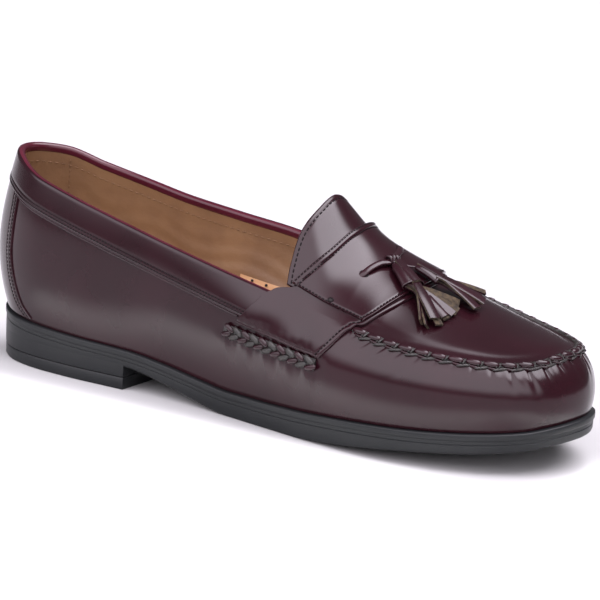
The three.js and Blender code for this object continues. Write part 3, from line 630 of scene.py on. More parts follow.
def smoothly(tree, source, output, start, stop, reached=1.0):
    """From 0 at start to reached at stop."""
    node = tree.nodes.new("ShaderNodeMapRange")
    node.interpolation_type = "SMOOTHSTEP"
    flipped = start > stop
    for key, value in (
        ("From Min", min(start, stop)), ("From Max", max(start, stop)),
        ("To Min", reached if flipped else 0.0), ("To Max", 0.0 if flipped else reached),
    ):
        node.inputs[key].default_value = value
    link(tree, source, output, node, "Value")
    return node


def combine(tree, operation, a, b):
    node = tree.nodes.new("ShaderNodeMath")
    node.operation = operation
    for k, value in enumerate((a, b)):
        if isinstance(value, float):
            node.inputs[k].default_value = value
        else:
            tree.links.new(value.outputs[0], node.inputs[k])
    return node


def add_world():
    world = bpy.context.scene.world or bpy.data.worlds.new("world")
    bpy.context.scene.world = world
    world.use_nodes = True
    tree = world.node_tree
    where = tree.nodes.new("ShaderNodeTexCoord")
    split = tree.nodes.new("ShaderNodeSeparateXYZ")
    link(tree, where, "Generated", split, "Vector")
    facing = tree.nodes.new("ShaderNodeVectorMath")
    facing.operation = "DOT_PRODUCT"
    facing.inputs[1].default_value = Vector(SOFT_BOX["towards"]).normalized()
    link(tree, where, "Generated", facing, 0)
    above = smoothly(tree, facing, "Value", SOFT_BOX["outer"], SOFT_BOX["inner"], SOFT_BOX["light"])
    front = smoothly(tree, split, "Y", FRONT_BOX["far"], FRONT_BOX["near"], FRONT_BOX["light"])
    risen = smoothly(tree, split, "Z", FRONT_BOX["low"], FRONT_BOX["high"])
    boxes = combine(tree, "ADD", above, combine(tree, "MULTIPLY", front, risen))
    background = tree.nodes["Background"]
    link(tree, combine(tree, "ADD", boxes, ROOM_LIGHT), "Value", background, "Strength")
    background.inputs["Color"].default_value = (*ROOM_COLOUR, 1)


def add_studio():
    scene = bpy.context.scene
    scene.view_settings.view_transform = "Standard"
    scene.view_settings.look = "None"
    add_world()
    for name, light in FLOOR_LIGHTS.items():
        add_light(name, **light)


# Sole
SOLE_SHARP = 40
# How far each ring is moved in, the line of the sole that it follows, and its height over that
SOLE_RINGS = (
    (3.0, slab_under, 0.0),
    (1.75, slab_under, 0.0),
    (1.3, slab_under, 0.15),
    (0.75, slab_under, 0.6),
    (0.5, slab_under, 1.3),
    (0.45, sole_top, -4.75),
    (0.67, sole_top, -4.55),
    (0.45, sole_top, -4.35),
    (0.45, sole_top, -WELT_RIB - 0.5),
    (0.4, sole_top, -WELT_RIB - 0.25),
    (0.12, sole_top, -WELT_RIB),
    (0.0, sole_top, -WELT_RIB + 0.25),
    (0.0, sole_top, -0.5),
    (0.12, sole_top, -0.2),
    (0.45, sole_top, 0.0),
    (6.0, sole_top, 0.0),
)
# How far each ring of the heel is moved in, and its height
BLOCK_RINGS = (
    (1.1, LIFT_THICKNESS + 0.35),
    (0.8, LIFT_THICKNESS + 0.45),
    (0.7, LIFT_THICKNESS + 0.8),
)
BLOCK_INSET = 0.5
BLOCK_OVERLAP = 1.5
LIFT_RINGS = (
    (1.9, 0.0),
    (1.3, 0.2),
    (1.0, 0.8),
    (0.85, LIFT_THICKNESS - 0.4),
    (1.15, LIFT_THICKNESS),
)


def inset_ring(s, inset):
    return flat3(outline(s), 0) - outline_normal(s) * inset


def ring_at(s, inset, line, rise):
    return flat3(inset_ring(s, inset), line(outline(s)[:, 0]) + rise)


def add_rings(pile, rings):
    pile.add(np.stack(rings), grid_faces(len(rings), len(rings[0]), close=True))


def add_end(pile, ring, turned=False):
    face = list(range(len(ring)))
    pile.add(ring, [face[::-1] if turned else face])


def closed_rings(rings):
    """Rings round the sole, closed with rungs from side to side at both ends."""
    pile = Pile()
    add_rings(pile, rings)
    count = len(rings[0])
    half = count // 2
    rungs = [[c, c + 1, (count - c - 1) % count, (count - c) % count] for c in range(1, half - 1)]
    rungs += [[0, 1, count - 1], [half - 1, half, half + 1]]
    for ring in (rings[0], rings[-1]):
        pile.add(ring, rungs)
    return pile


def heel_loop(inset):
    """The heel's outline, closed straight across its breast."""
    s = np.linspace(-6.0, 6.0, 2400)
    s = s[outline(s)[:, 0] <= HEEL_LENGTH]
    curve = inset_ring(np.linspace(s[0], s[-1], 240), inset)
    curve[:, 0] = np.minimum(curve[:, 0], HEEL_LENGTH - 0.3 * inset)
    share = np.linspace(0, 1, 42)[1:-1, None]
    return np.vstack([curve, curve[-1] * (1 - share) + curve[0] * share])


def make_sole():
    s = np.arange(0, AROUND, AROUND / 960)
    pile = closed_rings([ring_at(s, *row) for row in SOLE_RINGS])
    top = heel_loop(BLOCK_INSET)
    rings = [flat3(heel_loop(inset), z) for inset, z in BLOCK_RINGS]
    rings.append(flat3(top, slab_under(top[:, 0]) + BLOCK_OVERLAP))
    add_rings(pile, rings)
    add_end(pile, rings[0], turned=True)
    piece("sole_unit", pile, [RUBBER], "sole", "outsole", angle=SOLE_SHARP)
    pile = Pile()
    rings = [flat3(heel_loop(inset), z) for inset, z in LIFT_RINGS]
    add_rings(pile, rings)
    add_end(pile, rings[0], turned=True)
    add_end(pile, rings[-1])
    piece("heel_top_piece", pile, [RUBBER], "sole", "heel_lift", angle=SOLE_SHARP)


# Puckers and folds of the upper
SEAM_PITCH = 7.0
SEAM_START = 9.34
SEAM_S = np.linspace(SEAM_START, AROUND - SEAM_START, 1600)
SEAM_U = lengths(top_edge(SEAM_S))
SEAM_LENGTH = SEAM_U[-1]
SEAM_COUNT = int(SEAM_LENGTH / SEAM_PITCH)
BRAID_PITCH = 4.4
BRAID_LENGTH = 49.5
# u along the seam from the outer side's end: slant, depth and reach of the puckers there
PUCKERS = np.array([
    [0, 0.9, 0.5, 5.5],
    [22, 0.75, 0.5, 6.0],
    [36, 0.4, 0.35, 4.0],
    [60, 0.0, 0.4, 4.5],
    [74, -0.3, 0.8, 8.0],
    [105, -0.35, 0.9, 9.0],
    [SEAM_LENGTH / 2, 0.0, 0.7, 7.0],
])
PUCKER_SPREAD = RNG.uniform(0.75, 1.25, (SEAM_COUNT + 2, 2))


def pucker(u, d, scale=1.0):
    """Depth of the puckers at u along the seam and d away from it."""
    near = np.minimum(u, SEAM_LENGTH - u)
    slant, depth, reach = (np.interp(near, PUCKERS[:, 0], PUCKERS[:, k]) for k in (1, 2, 3))
    slant = np.where(u > SEAM_LENGTH / 2, -slant, slant)
    x = np.clip((u + slant * d) / SEAM_LENGTH, 0, 0.9999) * SEAM_COUNT
    k = np.floor(x).astype(int)
    f = (x - k - 0.5) * SEAM_PITCH
    reach = reach * PUCKER_SPREAD[k, 0] * scale
    fade = np.exp(-((d / reach) ** 1.5)) * np.clip(u / 3, 0, 1) * np.clip((SEAM_LENGTH - u) / 3, 0, 1)
    valley = bell(f, 0.4 + 0.1 * d)
    puff = 0.25 * np.cos(math.pi * f / SEAM_PITCH)
    return depth * PUCKER_SPREAD[k, 1] * scale * fade * (puff - 0.85 * valley)


def wall_relief(s, v):
    s = np.asarray(s, float) % AROUND
    d = (1 - v) * wall_length(s)
    relief = np.zeros(s.shape)
    on_seam = (s > SEAM_START) & (s < AROUND - SEAM_START)
    u = np.interp(s, SEAM_S, SEAM_U)
    relief += np.where(on_seam, pucker(u, d) + 0.3 * bell(d, 2.5), 0)
    side = np.minimum(s, AROUND - s)
    line = np.interp(side, LACED_LINE[:, 0], LACED_LINE[:, 1])
    e = (v - line) * wall_length(s)
    x = np.interp(side, LACED_LINE[:, 0], [0, BRAID_LENGTH / BRAID_PITCH])
    f = (x - np.floor(x) - 0.5) * BRAID_PITCH
    window = np.clip((side - 6.95) / 0.2, 0, 1) * np.clip((9.02 - side) / 0.2, 0, 1)
    fine = -0.4 * bell(f, 0.7) * bell(e + 2, 6.0)
    broad = 0.25 * np.cos(2 * math.pi * x / 2.6) * bell(e + 7, 8.0)
    relief += window * (fine + broad - 0.4 * bell(e, 3.5))
    return relief


def apron_relief(points):
    seam = top_edge(SEAM_S)[::4]
    flat = points.reshape(-1, 3)
    nearest = np.concatenate([
        np.argmin(((chunk[:, None] - seam) ** 2).sum(-1), 1) for chunk in np.array_split(flat, 40)
    ])
    d = np.linalg.norm(flat - seam[nearest], axis=-1)
    u = SEAM_U[::4][nearest]
    lip = 0.45 * bell(d, 2.0) - 0.35 * bell(d - 5.5, 2.6)
    return (pucker(u, d, 0.35) + lip).reshape(points.shape[:-1])


def make_upper():
    pile = Pile()
    s = np.arange(0, AROUND, AROUND / 896)
    v = gathered(70)
    grid_s, grid_v = np.meshgrid(s, v)
    out = normal(grid_s, grid_v, 0.01)
    rows = surface(grid_s, grid_v) + out * wall_relief(grid_s, grid_v)[..., None]
    foot = rows[:1] - out[:1] * 1.2 - [0, 0, 0.5]
    pile.add(np.concatenate([foot, rows]), grid_faces(len(v) + 1, len(s), close=True))
    across = np.linspace(-1, 1, 110)
    down = np.linspace(THROAT, LAST, 190)
    grid_s, grid_t = np.meshgrid(down, across, indexing="ij")
    points = surface(grid_s, (grid_t + 3) / 2)
    points[:, 0], points[:, -1] = top_edge(down), top_edge(AROUND - down)
    out = normal(grid_s, np.clip((grid_t + 3) / 2, 1.002, 1.998), 0.01)
    points = points + out * apron_relief(points)[..., None]
    pile.add(points, grid_faces(len(down), len(across)))
    piece("upper_leather", pile, [BURGUNDY], "upper", "upper")


LINING_LIFT = -(WALL + 0.15)


def make_lining():
    pile = Pile()
    s = np.arange(0, AROUND, AROUND / 512)
    v = np.linspace(0.02, 0.965, 40)
    grid_s, grid_v = np.meshgrid(s, v)
    out = normal(grid_s, grid_v, 0.01)
    wrinkle = 0.18 * np.sin(grid_v * 46 + 2.2 * np.sin(grid_s * 3.1)) * bell(grid_v - 0.5, 0.3)
    inside = surface(grid_s, grid_v) + out * (LINING_LIFT + wrinkle)[..., None]
    faces = [face[::-1] for face in grid_faces(len(v), len(s), close=True)]
    row, turn = np.divmod(np.arange(len(faces)), len(s))
    vamp = (np.abs(s[turn] - LAST) < LAST - 6.0) & (v[row] < 0.52)
    pile.add(inside, faces, np.where(vamp, 2, 0))
    for at in (25.53, 25.78):
        centre = place(np.array([at]), np.array([0.507]), LINING_LIFT - 0.2)
        add_beads(pile, (centre, *(np.array([axis]) for axis in np.eye(3))), 1.3, 1.3, 1.3, slot=3)
    down, over = np.linspace(THROAT, LAST - 0.3, 60), np.linspace(1.004, 1.996, 40)
    roof = place(*np.meshgrid(down, over, indexing="ij"), LINING_LIFT)
    pile.add(roof, [face[::-1] for face in grid_faces(60, 40)])
    row = np.linspace(-7.9, 7.9, 400)
    drop = 1 - 8.0 / wall_length(row)
    points = place(row, drop, LINING_LIFT - 0.15)
    add_beads(pile, evenly(points, normal(row, drop), 3.2, 2.0), 2.0, 0.5, 0.5, slot=1)
    for at in (-1.9, 1.9):
        rise = np.linspace(0.35, 0.95, 60)
        row = np.full(60, at)
        points = place(row, rise, LINING_LIFT - 0.15)
        add_beads(pile, evenly(points, normal(row, rise), 2.6, 1.0), 1.7, 0.5, 0.5, slot=1)
    piece("lining", pile, [LINING, LINING_THREAD, SOCK, HOLE], "sock", angle=50)


# How far each ring of the sock is moved in from the upper's wall, and its height over the sole
SOCK_RINGS = (
    (0.4, 0.3),
    (0.0, 0.8),
    (0.0, SOCK_THICKNESS + 0.6),
    (0.5, SOCK_THICKNESS + 0.8),
    (3.0, SOCK_THICKNESS + 0.4),
    (9.0, SOCK_THICKNESS + 0.1),
)


def make_sock():
    s = np.arange(0, AROUND, AROUND / 480)
    wall_inset = FEATHER_INSET + WALL + 0.3
    rings = [ring_at(s, wall_inset + inset, sole_top, rise) for inset, rise in SOCK_RINGS]
    piece("sock_leather", closed_rings(rings), [SOCK], "sock", "insole", angle=50)


# Overlays
def strap_rear(v):
    return np.interp(v, STRAP[:3, 1], STRAP[:3, 0])


def make_collar_band():
    pile = Pile()
    s = np.linspace(-1, 1, 700)[:, None]
    share = gathered(26, ends=False)
    foot = band_foot(np.abs(s) * 7.6)
    radius = (OVERLAY_BASE + OVERLAY + WALL + 0.35) / 2
    brow = 1 - 1.6 / wall_length(np.abs(s) * 7.6)
    v = foot + (brow - foot) * share
    at = s * (strap_rear(v) + 0.04)
    p, n = surface(at, v), normal(at, v, 0.01)
    d = lengths(np.swapaxes(p, 0, 1)).T
    fold = np.sqrt(1 - (1 - np.clip(d / 0.9, 0, 1)) ** 2)
    lift = OVERLAY_BASE + OVERLAY * fold - 0.22 * bell(d - 1.6, 0.45) - 0.22 * bell(d - 3.1, 0.45)
    outer = p + n * lift[..., None]
    under = p[:, :1] + n[:, :1] * -0.6
    end = at[:, -1]
    top, out = p[:, -1], n[:, -1]
    up = unit(surface(end, brow[:, 0]) - surface(end, brow[:, 0] - 0.03))
    centre = top + out * (OVERLAY_BASE + OVERLAY - radius)
    turn = np.radians(np.linspace(12, 180, 15))
    round_rim = out[:, None] * np.cos(turn)[:, None] + up[:, None] * np.sin(turn)[:, None]
    cap = centre[:, None] + radius * round_rim
    drop = np.array([0.5, 1.0, 1.5, 1.8, 1.9])
    inward = np.array([0, 0.02, 0.0, -0.1, -0.5])
    inner = centre[:, None] - out[:, None] * (radius + inward)[:, None] - up[:, None] * drop[:, None]
    grid = np.concatenate([under, outer, cap, inner], 1)
    faces = grid_faces(*grid.shape[:2])
    turned_in = outer.shape[1] + 3
    slots = [3 if k % (grid.shape[1] - 1) > turned_in else 0 for k in range(len(faces))]
    pile.add(grid, faces, slots)
    for distance in (1.6, 3.1):
        places = trace(np.broadcast_to(at, v.shape), v, d, distance)
        stitch_row(pile, *places, OVERLAY_BASE + OVERLAY - 0.12, slot=1)
    bead_v = foot[:, 0] - 0.35 / wall_length(np.abs(s[:, 0]) * 7.6)
    bead_s = s[:, 0] * (strap_rear(bead_v) - 0.05)
    add_tube(pile, place(bead_s, bead_v, 0.35), normal(bead_s, bead_v), 0.9, 0.9, 8, 2)
    piece("collar_binding", pile, [BURGUNDY, THREAD, TRIM, BINDING], "upper", "collar_band")


def band_foot(s):
    return 1 - BAND_HEIGHT / wall_length(s)


def make_back_stay():
    pile = Pile()
    reaches = smooth_rows(STAY, 80)
    share = (gathered(150) * 2 - 1)[None, :]
    rise = np.linspace(0, 1, 90)[:, None]
    v = STAY[0, 0] + rise * (band_foot(share * STAY[-2, 1]) + 0.01 - STAY[0, 0])
    s = share * np.interp(v, reaches[:, 0], reaches[:, 1])
    grooves = [(side, at, 0.16, 0.5) for side in ("left", "right") for at in (1.2, 3.9)]
    thick = 0.75
    face, under, reach = panel(s, v, 0.1, thick, {"left": 0.3, "right": 0.3}, grooves)
    add_panel(pile, face, under)
    for side in ("left", "right"):
        for at in (1.2, 3.9):
            stitch_row(pile, *trace(s, v, reach[side], at), thick, slot=1)
    piece("heel_stay", pile, [BURGUNDY, THREAD], "upper", "back_stay")
    pile = Pile()
    half = 0.24
    foot = band_foot(np.zeros(1))[0]
    v = np.linspace(foot - 0.02, 0.985, 30)[:, None] + np.zeros((1, 16))
    s = (gathered(16) * 2 - 1)[None, :] * half + np.zeros((30, 1))
    lift = OVERLAY_BASE + OVERLAY
    folds = {side: 0.5 for side in ("left", "right", "first", "last")}
    face, under, reach = panel(s, v, lift - 0.2, 1.2, folds)
    add_panel(pile, face, under)
    for side in ("left", "right"):
        stitch_row(pile, *trace(s, v, reach[side], 0.9), lift + 0.95, slot=1)
    piece("collar_join", pile, [BURGUNDY, THREAD], "upper")


def strap_relief(s, v):
    """Soft folds in each wing of the strap, over the laced seam."""
    side = np.minimum(v, 3 - v)
    wing = np.clip((1.02 - side) / 0.3, 0, 1)
    line = np.interp(s, LACED_LINE[:, 0], LACED_LINE[:, 1])
    e = (side - line) * wall_length(s)
    x = np.interp(s, LACED_LINE[:, 0], [0, BRAID_LENGTH / BRAID_PITCH])
    f = (x - np.floor(x) - 0.5) * BRAID_PITCH
    fine = -0.35 * bell(f, 0.9) * bell(e - 3, 5.0)
    lean = x - 0.12 * e
    broad = 0.3 * bell(lean - 1.8, 1.4) - 0.45 * bell(lean - 5.0, 1.8) + 0.35 * bell(lean - 8.2, 1.2)
    return wing * (fine + broad * bell(e - 9, 9.0)) + 0.5 * bell(s - 9.25, 0.25) * bell(side - 0.96, 0.08)


def make_strap():
    pile = Pile()
    rows = smooth_rows(STRAP, 330)
    share = gathered(64)
    s = rows[:, :1] * (1 - share) + rows[:, 2:3] * share
    v = rows[:, 1:2] * (1 - share) + rows[:, 3:] * share
    folds = {"left": 0.35, "right": 1.0, "first": 0.9, "last": 0.9}
    grooves = [("right", 2.3, 0.25, 0.45), ("first", 1.6, 0.2, 0.45), ("last", 1.6, 0.2, 0.45)]
    face, under, reach = panel(s, v, OVERLAY_BASE, OVERLAY, folds, grooves, strap_relief(s, v))
    add_panel(pile, face, under)
    lift = OVERLAY_BASE + OVERLAY - 0.12
    at = trace(s, v, reach["right"], 2.3)
    stitch_row(pile, *at, lift + strap_relief(*at), slot=1)
    piece("strap_leather", pile, [BURGUNDY, THREAD], "upper", "strap")


def make_saddle():
    pile = Pile()
    rows = smooth_rows(SADDLE, 220)
    share = gathered(80)
    s = rows[:, 1:2] * (1 - share) + rows[:, 2:] * share
    v = rows[:, :1] + np.zeros((1, 80))
    thick = SADDLE_THICKNESS
    folds = {"left": 0.4, "right": 0.4, "first": 0.4, "last": 0.4}
    grooves = [("left", 0.7, 0.15, 0.4), ("left", 2.9, 0.4, 0.35), ("right", 1.4, 0.2, 0.4)]
    grooves += [("first", 0.8, 0.15, 0.4), ("last", 0.8, 0.15, 0.4)]
    strip = 0.3
    face, under, reach = panel(s, v, SADDLE_BASE, thick, folds, grooves)
    band = np.clip((2.8 - reach["left"]) / 0.4, 0, 1) * np.clip(reach["left"] / 0.5, 0, 1) * strip
    face = face + normal(s, v) * band[..., None]
    add_panel(pile, face, under)
    lift = SADDLE_BASE + thick - 0.1
    for side, distance, more in (("left", 0.8, strip), ("left", 3.0, 0.0), ("right", 1.4, 0.0)):
        stitch_row(pile, *trace(s, v, reach[side], distance), lift + more, slot=1)
    for side in ("first", "last"):
        turned = [np.swapaxes(value, 0, 1) for value in (s, v, reach[side])]
        stitch_row(pile, *trace(*turned, 0.8), lift, slot=1)
    piece("saddle_leather", pile, [BURGUNDY, THREAD], "upper", "saddle")


def make_tongue():
    pile = Pile()
    rows = smooth_rows(TONGUE, 240)
    share = gathered(50, ends=False)
    s = rows[:, 1:2] * (1 - share) + rows[:, 2:] * share
    v = rows[:, :1] + np.zeros((1, 50))
    half = TONGUE_THICKNESS / 2
    p, n = surface(s, v), normal(s, v)
    d = lengths(np.swapaxes(p, 0, 1)).T
    ends = np.minimum(lengths(p), lengths(p)[-1:] - lengths(p))
    fold = np.sqrt(1 - (1 - np.clip(np.minimum(d, ends) / half, 0, 1)) ** 2)
    groove = 0.22 * bell(d - 2.4, 0.45)
    outer = p + n * (half * fold - half - groove)[..., None]
    inner = p + n * (-half * fold - half)[..., None]
    pile.add(outer, grid_faces(*s.shape))
    pile.add(inner, [face[::-1] for face in grid_faces(*s.shape)], 2)
    stitch_row(pile, *trace(s, v, d, 2.4), -0.12, slot=1, pitch=2.5, length=1.8)
    piece("tongue_leather", pile, [BURGUNDY, THREAD, LINING], "upper", "tongue")


# Hand-sewn seams
def seam_frames(u, inward, lift):
    """Frames along the apron's seam: points, the way along, the way across to the arch, the way out."""
    s = np.interp(u, SEAM_U, SEAM_S)
    level = outline_normal(s)
    out = (level * 0.45 + UP * 0.9) / math.hypot(0.45, 0.9)
    across = UP * 0.45 - level * 0.9
    way = unit(np.cross(across, out))
    return top_edge(s) + across * inward + out * lift, way, across, out


def make_apron_seam():
    pile = Pile()
    count = 1500
    u = np.linspace(0, SEAM_LENGTH, count)
    step = SEAM_LENGTH / SEAM_COUNT
    middle, way, across, out = seam_frames(u, 0.7, 0.1)
    x = u / step
    dip = bell((x - np.round(x)) * step, 0.6)
    profile = np.radians(np.linspace(-12, 192, 15))
    side = np.cos(profile) * SEAM_WIDTH * 0.31
    high = np.maximum(np.sin(profile), -0.3) * (SEAM_HEIGHT * 0.5) * (1 - 0.5 * dip)[:, None]
    ridge = middle[:, None] - across[:, None] * side[None, :, None] + out[:, None] * high[..., None]
    pile.add(ridge, grid_faces(count, len(profile)), 1)
    stations = (np.arange(SEAM_COUNT) + 0.5) * step
    rise = np.interp(stations / SEAM_LENGTH, (0, 0.5, 0.6, 1), (1.2, 1.1, 0.5, 0.4))
    add_beads(pile, seam_frames(stations, 0.0, rise[:, None]), step * 0.94, 3.0, 2.3, turn=-0.14, sides=10)
    between = stations + step * 0.5
    add_beads(pile, seam_frames(between, -1.9, 0.2), step * 0.9, 1.2, 1.3, turn=0.24, sides=8, slot=1)
    add_beads(pile, seam_frames(stations, -1.8, 0.3), step * 0.7, 0.9, 1.0, turn=-0.3, sides=8)
    for shift, turn in ((0.5, 1.2), (0.42, 0.8)):
        add_beads(pile, seam_frames(stations + step * shift, -0.5, 1.1), 3.8, 0.7, 1.2, turn=turn, slot=1)
    piece("apron_lacing", pile, [TRIM, LACE], "lacing", "apron_seam")


def make_laced_seam(medial):
    pile = Pile()
    share = np.linspace(0, 1, 260)
    s, v = (LACED_LINE[0, k] + share * (LACED_LINE[1, k] - LACED_LINE[0, k]) for k in (0, 1))
    at = AROUND - s if medial else s
    base, out = wall(at, v), normal(at, v, 0.01)
    add_tube(pile, base + out * 0.2, out, 5.2, 1.6, 12, slot=1)
    mirror = -1 if medial else 1
    for row, slant in ((1, -0.42), (-1, 0.42)):
        middle, way, side, high = evenly(base, out, BRAID_PITCH, 0.6 if row > 0 else -0.6)
        middle = middle + side * (1.5 * row * mirror) + high * 1.0
        for parity in (0, 1):
            pick = slice(parity, None, 2)
            frames = tuple(value[pick] for value in (middle, way, side, high))
            add_beads(pile, frames, BRAID_PITCH * 1.35, 2.6, 2.2, turn=slant * mirror, sides=10, slot=parity)
    name = "side_lacing_medial" if medial else "side_lacing_lateral"
    node = "laced_seam_medial" if medial else "laced_seam_lateral"
    piece(name, pile, [TRIM, LACE], "lacing", node)


# Tassels
HOLES = {"lateral": (8.96, 1.25), "medial": (8.96, 1.64)}
KNOT = (9.2, 1.42)
LACE_WIDTH = 3.0
LACE_NODES = ("tassel_lace_lateral", "tassel_lace_medial")


def spot(s, v, lift):
    return place(np.array([s], float), np.array([v], float), np.array([lift], float))[0]


def out_at(s, v):
    return normal(np.array([s], float), np.array([v], float))[0]


def route(places, steps):
    """A smooth path through places of section, height and lift, with the way out along it."""
    points = smooth_rows(np.array([spot(*p) for p in places]), steps)
    return points, smooth_rows(np.array([out_at(s, v) for s, v, _ in places]), steps)


def make_tassel_lace():
    """One thong through the saddle's two holes, with the tassels tied on it."""
    (a, b), (c, d) = HOLES["lateral"], HOLES["medial"]
    points, outs = route([
        (a - 0.04, b - 0.02, SADDLE_TOP - 0.6), (a, b, SADDLE_TOP + 0.5),
        (a + 0.05, b + 0.045, SADDLE_TOP + 1.4), (a + 0.13, b + 0.1, SADDLE_TOP + 1.8),
        (KNOT[0], KNOT[1] - 0.03, SADDLE_TOP + 2.0), (KNOT[0], KNOT[1] + 0.02, SADDLE_TOP + 1.9),
        (9.14, 1.5, SADDLE_TOP + 1.0), (c + 0.1, d - 0.07, SADDLE_TOP + 0.8),
        (c + 0.01, d - 0.01, SADDLE_TOP + 0.4), (c - 0.04, d + 0.02, SADDLE_TOP - 0.6),
    ], 60)
    pile = Pile()
    add_tube(pile, points, outs, LACE_WIDTH, 1.3, 14)
    lace = piece("tassel_thong", pile, [TRIM], "trim", *LACE_NODES, angle=60)
    world = (points - [ORIGIN_X, 0, 0]) * MM
    return lace, world, float(lengths(world)[-1])


def make_knot():
    pile = Pile()
    centre, out = spot(*KNOT, SADDLE_TOP + 2.0), out_at(*KNOT)
    s, v = KNOT
    way = unit(spot(s + 0.1, v + 0.045, SADDLE_TOP) - spot(s - 0.1, v - 0.045, SADDLE_TOP))
    side = np.cross(out, way)
    turn = np.linspace(0, 2 * math.pi, 40)
    for shift, tilt, radius in ((-1.9, 0.3, 1.75), (-0.2, -0.12, 2.15), (1.6, 0.25, 1.85)):
        axis = way * math.cos(tilt) + side * math.sin(tilt)
        other = np.cross(out, axis)
        middle = centre + way * shift
        ring = middle + radius * (np.cos(turn)[:, None] * other + np.sin(turn)[:, None] * out * 0.9)
        add_tube(pile, ring, ring - middle, 1.9, 1.3, 10, caps=False)
    for places in (
        [(9.22, 1.44, 5.6), (9.35, 1.46, 4.6), (9.5, 1.48, 3.4), (9.7, 1.505, 4.4)],
        [(9.22, 1.4, 5.0), (9.3, 1.4, 5.4), (9.36, 1.405, 5.0), (9.45, 1.4, 4.6)],
    ):
        points, outs = route(places, 30)
        add_tube(pile, points, outs, 1.5, 0.9, 10)
    thread = [(9.2, 1.5, 4.2), (9.15, 1.56, 3.6), (9.08, 1.63, 3.4), (9.06, 1.57, 3.0), (9.12, 1.53, 3.1)]
    points, outs = route(thread, 30)
    add_tube(pile, points, outs, 0.3, 0.3, 6)
    return piece("tassel_tie", pile, [TRIM], "trim", "tassel_knot", angle=60)


STRIP_SECTION = [
    (-0.5, -0.35), (-0.45, -0.5), (0.45, -0.5), (0.5, -0.35),
    (0.5, 0.3), (0.44, 0.5), (-0.44, 0.5), (-0.5, 0.3),
]
STRIP_SLOTS = [1, 1, 1, 1, 0, 0, 0, 0]


def add_strip(pile, start, end, out, width, bow, twist, flip):
    """A flat strip of leather with its smooth face up, or its suede back where flip is set."""
    steps, thick = 16, 1.1
    t = np.linspace(0, 1, steps)[:, None]
    bend = (start + end) / 2 + out * bow
    spine = start * (1 - t) ** 2 + 2 * bend * t * (1 - t) + end * t**2
    way = unit(np.gradient(spine, axis=0))
    side = unit(np.cross(way, out))
    face = np.cross(side, way)
    angle = np.radians(twist) * np.sqrt(t)
    wide = side * np.cos(angle) + face * np.sin(angle)
    high = face * np.cos(angle) - side * np.sin(angle)
    grow = 0.7 + 0.3 * np.clip(t * 2, 0, 1)
    rings = np.stack([spine + wide * a * width * grow + high * b * thick for a, b in STRIP_SECTION], 1)
    sides = len(STRIP_SECTION)
    skins = [1 - k for k in STRIP_SLOTS] if flip else STRIP_SLOTS
    pile.add(rings, grid_faces(steps, sides, close=True), skins * (steps - 1))
    pile.add(rings[-1], [list(range(sides))[::-1]], 1)


# s, v and lift of each strip's end, where its root lies across and above the neck (shares of the
# head's half width and height), its width, twist and whether the suede shows
FRINGE_COLUMNS = ("s", "v", "lift", "across", "above", "width", "twist", "flip")
TASSEL_FORMS = {
    "lateral": {
        "top": (9.336, 1.406, 4.6), "neck": (10.066, 1.333, 5.0), "wide": (6.4, 10.4), "high": (3.8, 5.0),
        "strips": [
            (10.83, 1.158, 2.4, -0.9, 0.1, 3.8, 60, False), (11.0, 1.156, 1.4, -0.7, -0.3, 3.8, 50, False),
            (11.187, 1.2, 1.4, -0.2, -0.4, 4.2, 10, True), (11.21, 1.27, 1.2, 0.2, -0.4, 4.2, 0, True),
            (11.26, 1.36, 1.6, 0.6, -0.3, 5.2, -10, True), (11.12, 1.45, 1.4, 0.8, -0.2, 4.6, -20, True),
            (11.26, 1.31, 2.5, 0.55, 0.25, 3.6, -18, False), (11.18, 1.255, 3.0, 0.25, 0.4, 3.7, -10, False),
            (11.07, 1.198, 3.9, -0.25, 0.6, 5.0, 5, False),
        ],
    },
    "medial": {
        "top": (9.688, 1.505, 4.5), "neck": (10.36, 1.509, 4.6), "wide": (5.8, 8.2), "high": (3.4, 3.6),
        "strips": [
            (11.3, 1.62, 1.2, 0.3, -0.4, 3.8, 0, True), (11.42, 1.53, 1.2, -0.2, -0.4, 3.8, 0, True),
            (11.2, 1.68, 2.0, 0.5, -0.1, 3.4, -10, False), (11.15, 1.74, 3.2, 0.6, 0.3, 2.6, -20, True),
            (11.48, 1.475, 2.8, -0.45, 0.8, 5.4, 4, False), (11.44, 1.575, 3.6, 0.2, 0.9, 6.2, 0, False),
        ],
    },
}


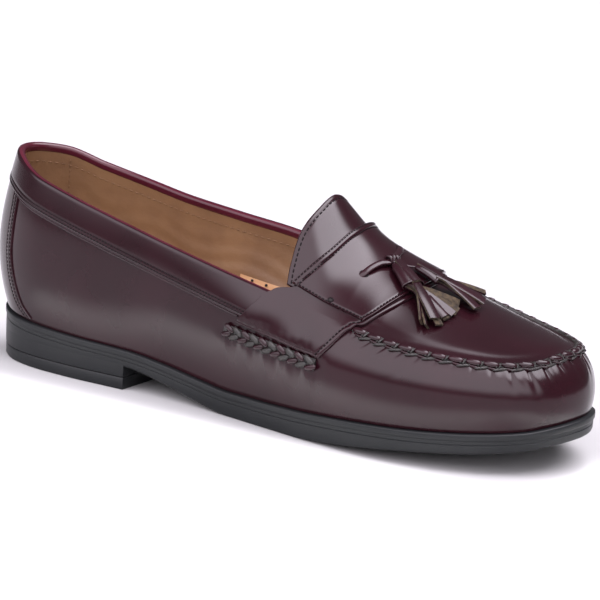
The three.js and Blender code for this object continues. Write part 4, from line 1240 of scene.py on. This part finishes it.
def make_tassel(name):
    form = TASSEL_FORMS[name]
    pile = Pile()
    top, neck = spot(*form["top"]), spot(*form["neck"])
    out = out_at(*form["neck"][:2])
    down = unit(neck - top)
    side = np.cross(down, out)
    out = np.cross(side, down)
    share = np.linspace(0, 1, 24)
    points = top + (neck - top) * share[:, None] + out * 0.4 * np.sin(share * math.pi)[:, None]
    swell = np.sqrt(np.clip(share / 0.2, 0, 1)) * 0.4 + 0.6
    wide, high = (np.interp(share, (0, 1), form[key]) * swell for key in ("wide", "high"))
    add_tube(pile, points, np.broadcast_to(out, points.shape), wide, high, 24)
    turn = np.linspace(0, 2 * math.pi, 40)
    half_wide, half_high = form["wide"][1] / 2, form["high"][1] / 2
    rim = neck + np.cos(turn)[:, None] * side * half_wide + np.sin(turn)[:, None] * out * half_high
    add_tube(pile, rim, rim - neck, 1.1, 0.5, 8, caps=False)
    # the outer turn of the rolled head
    start = top + out * (form["high"][0] / 2 - 0.1) - side * 0.4
    end = neck + out * (half_high + 0.05) - side * 0.7 + down * 0.8
    add_strip(pile, start, end, out, form["wide"][0] * 0.62, 0.35, -6, False)
    for strip in form["strips"]:
        spec = dict(zip(FRINGE_COLUMNS, strip))
        end = spot(spec["s"], spec["v"], spec["lift"])
        start = neck - down * 1.5 + side * spec["across"] * half_wide * 0.75 + out * spec["above"] * half_high
        add_strip(pile, start, end, out, spec["width"], 1.2, spec["twist"], spec["flip"])
    return piece(f"tassel_fringe_{name}", pile, [TRIM, SUEDE], "trim", f"tassel_{name}", angle=45)


def make_holes():
    pile = Pile()
    turn = np.linspace(0, 2 * math.pi, 25)
    marks = [(s, v, 1.5) for s, v in HOLES.values()] + [(8.72, 1.062, 0.9), (8.72, 1.938, 0.9)]
    for s, v, radius in marks:
        centre, out = spot(s, v, SADDLE_TOP + 0.05), out_at(s, v)
        way = spot(s + 0.1, v, SADDLE_TOP) - centre
        way = unit(way - out * np.dot(way, out))
        side = np.cross(out, way)
        ring = centre + radius * (np.cos(turn)[:, None] * way * 1.25 + np.sin(turn)[:, None] * side)
        add_tube(pile, ring, np.broadcast_to(out, ring.shape), 0.6, 0.5, 8, 0, caps=False)
        disc = np.vstack([centre + out * 0.04, ring + out * 0.02])
        pile.add(disc, [[0, j + 1, j + 2] for j in range(24)], 1)
    piece("saddle_holes", pile, [THREAD, HOLE], "upper", angle=50)


add_camera()
add_floor()
add_studio()
thong, thong_path, thong_length = make_tassel_lace()
tie = make_knot()
fringes = [make_tassel(name) for name in TASSEL_FORMS]
make_sole()
make_upper()
make_lining()
make_sock()
make_collar_band()
make_back_stay()
make_strap()
make_saddle()
make_tongue()
make_apron_seam()
make_laced_seam(False)
make_laced_seam(True)
make_holes()
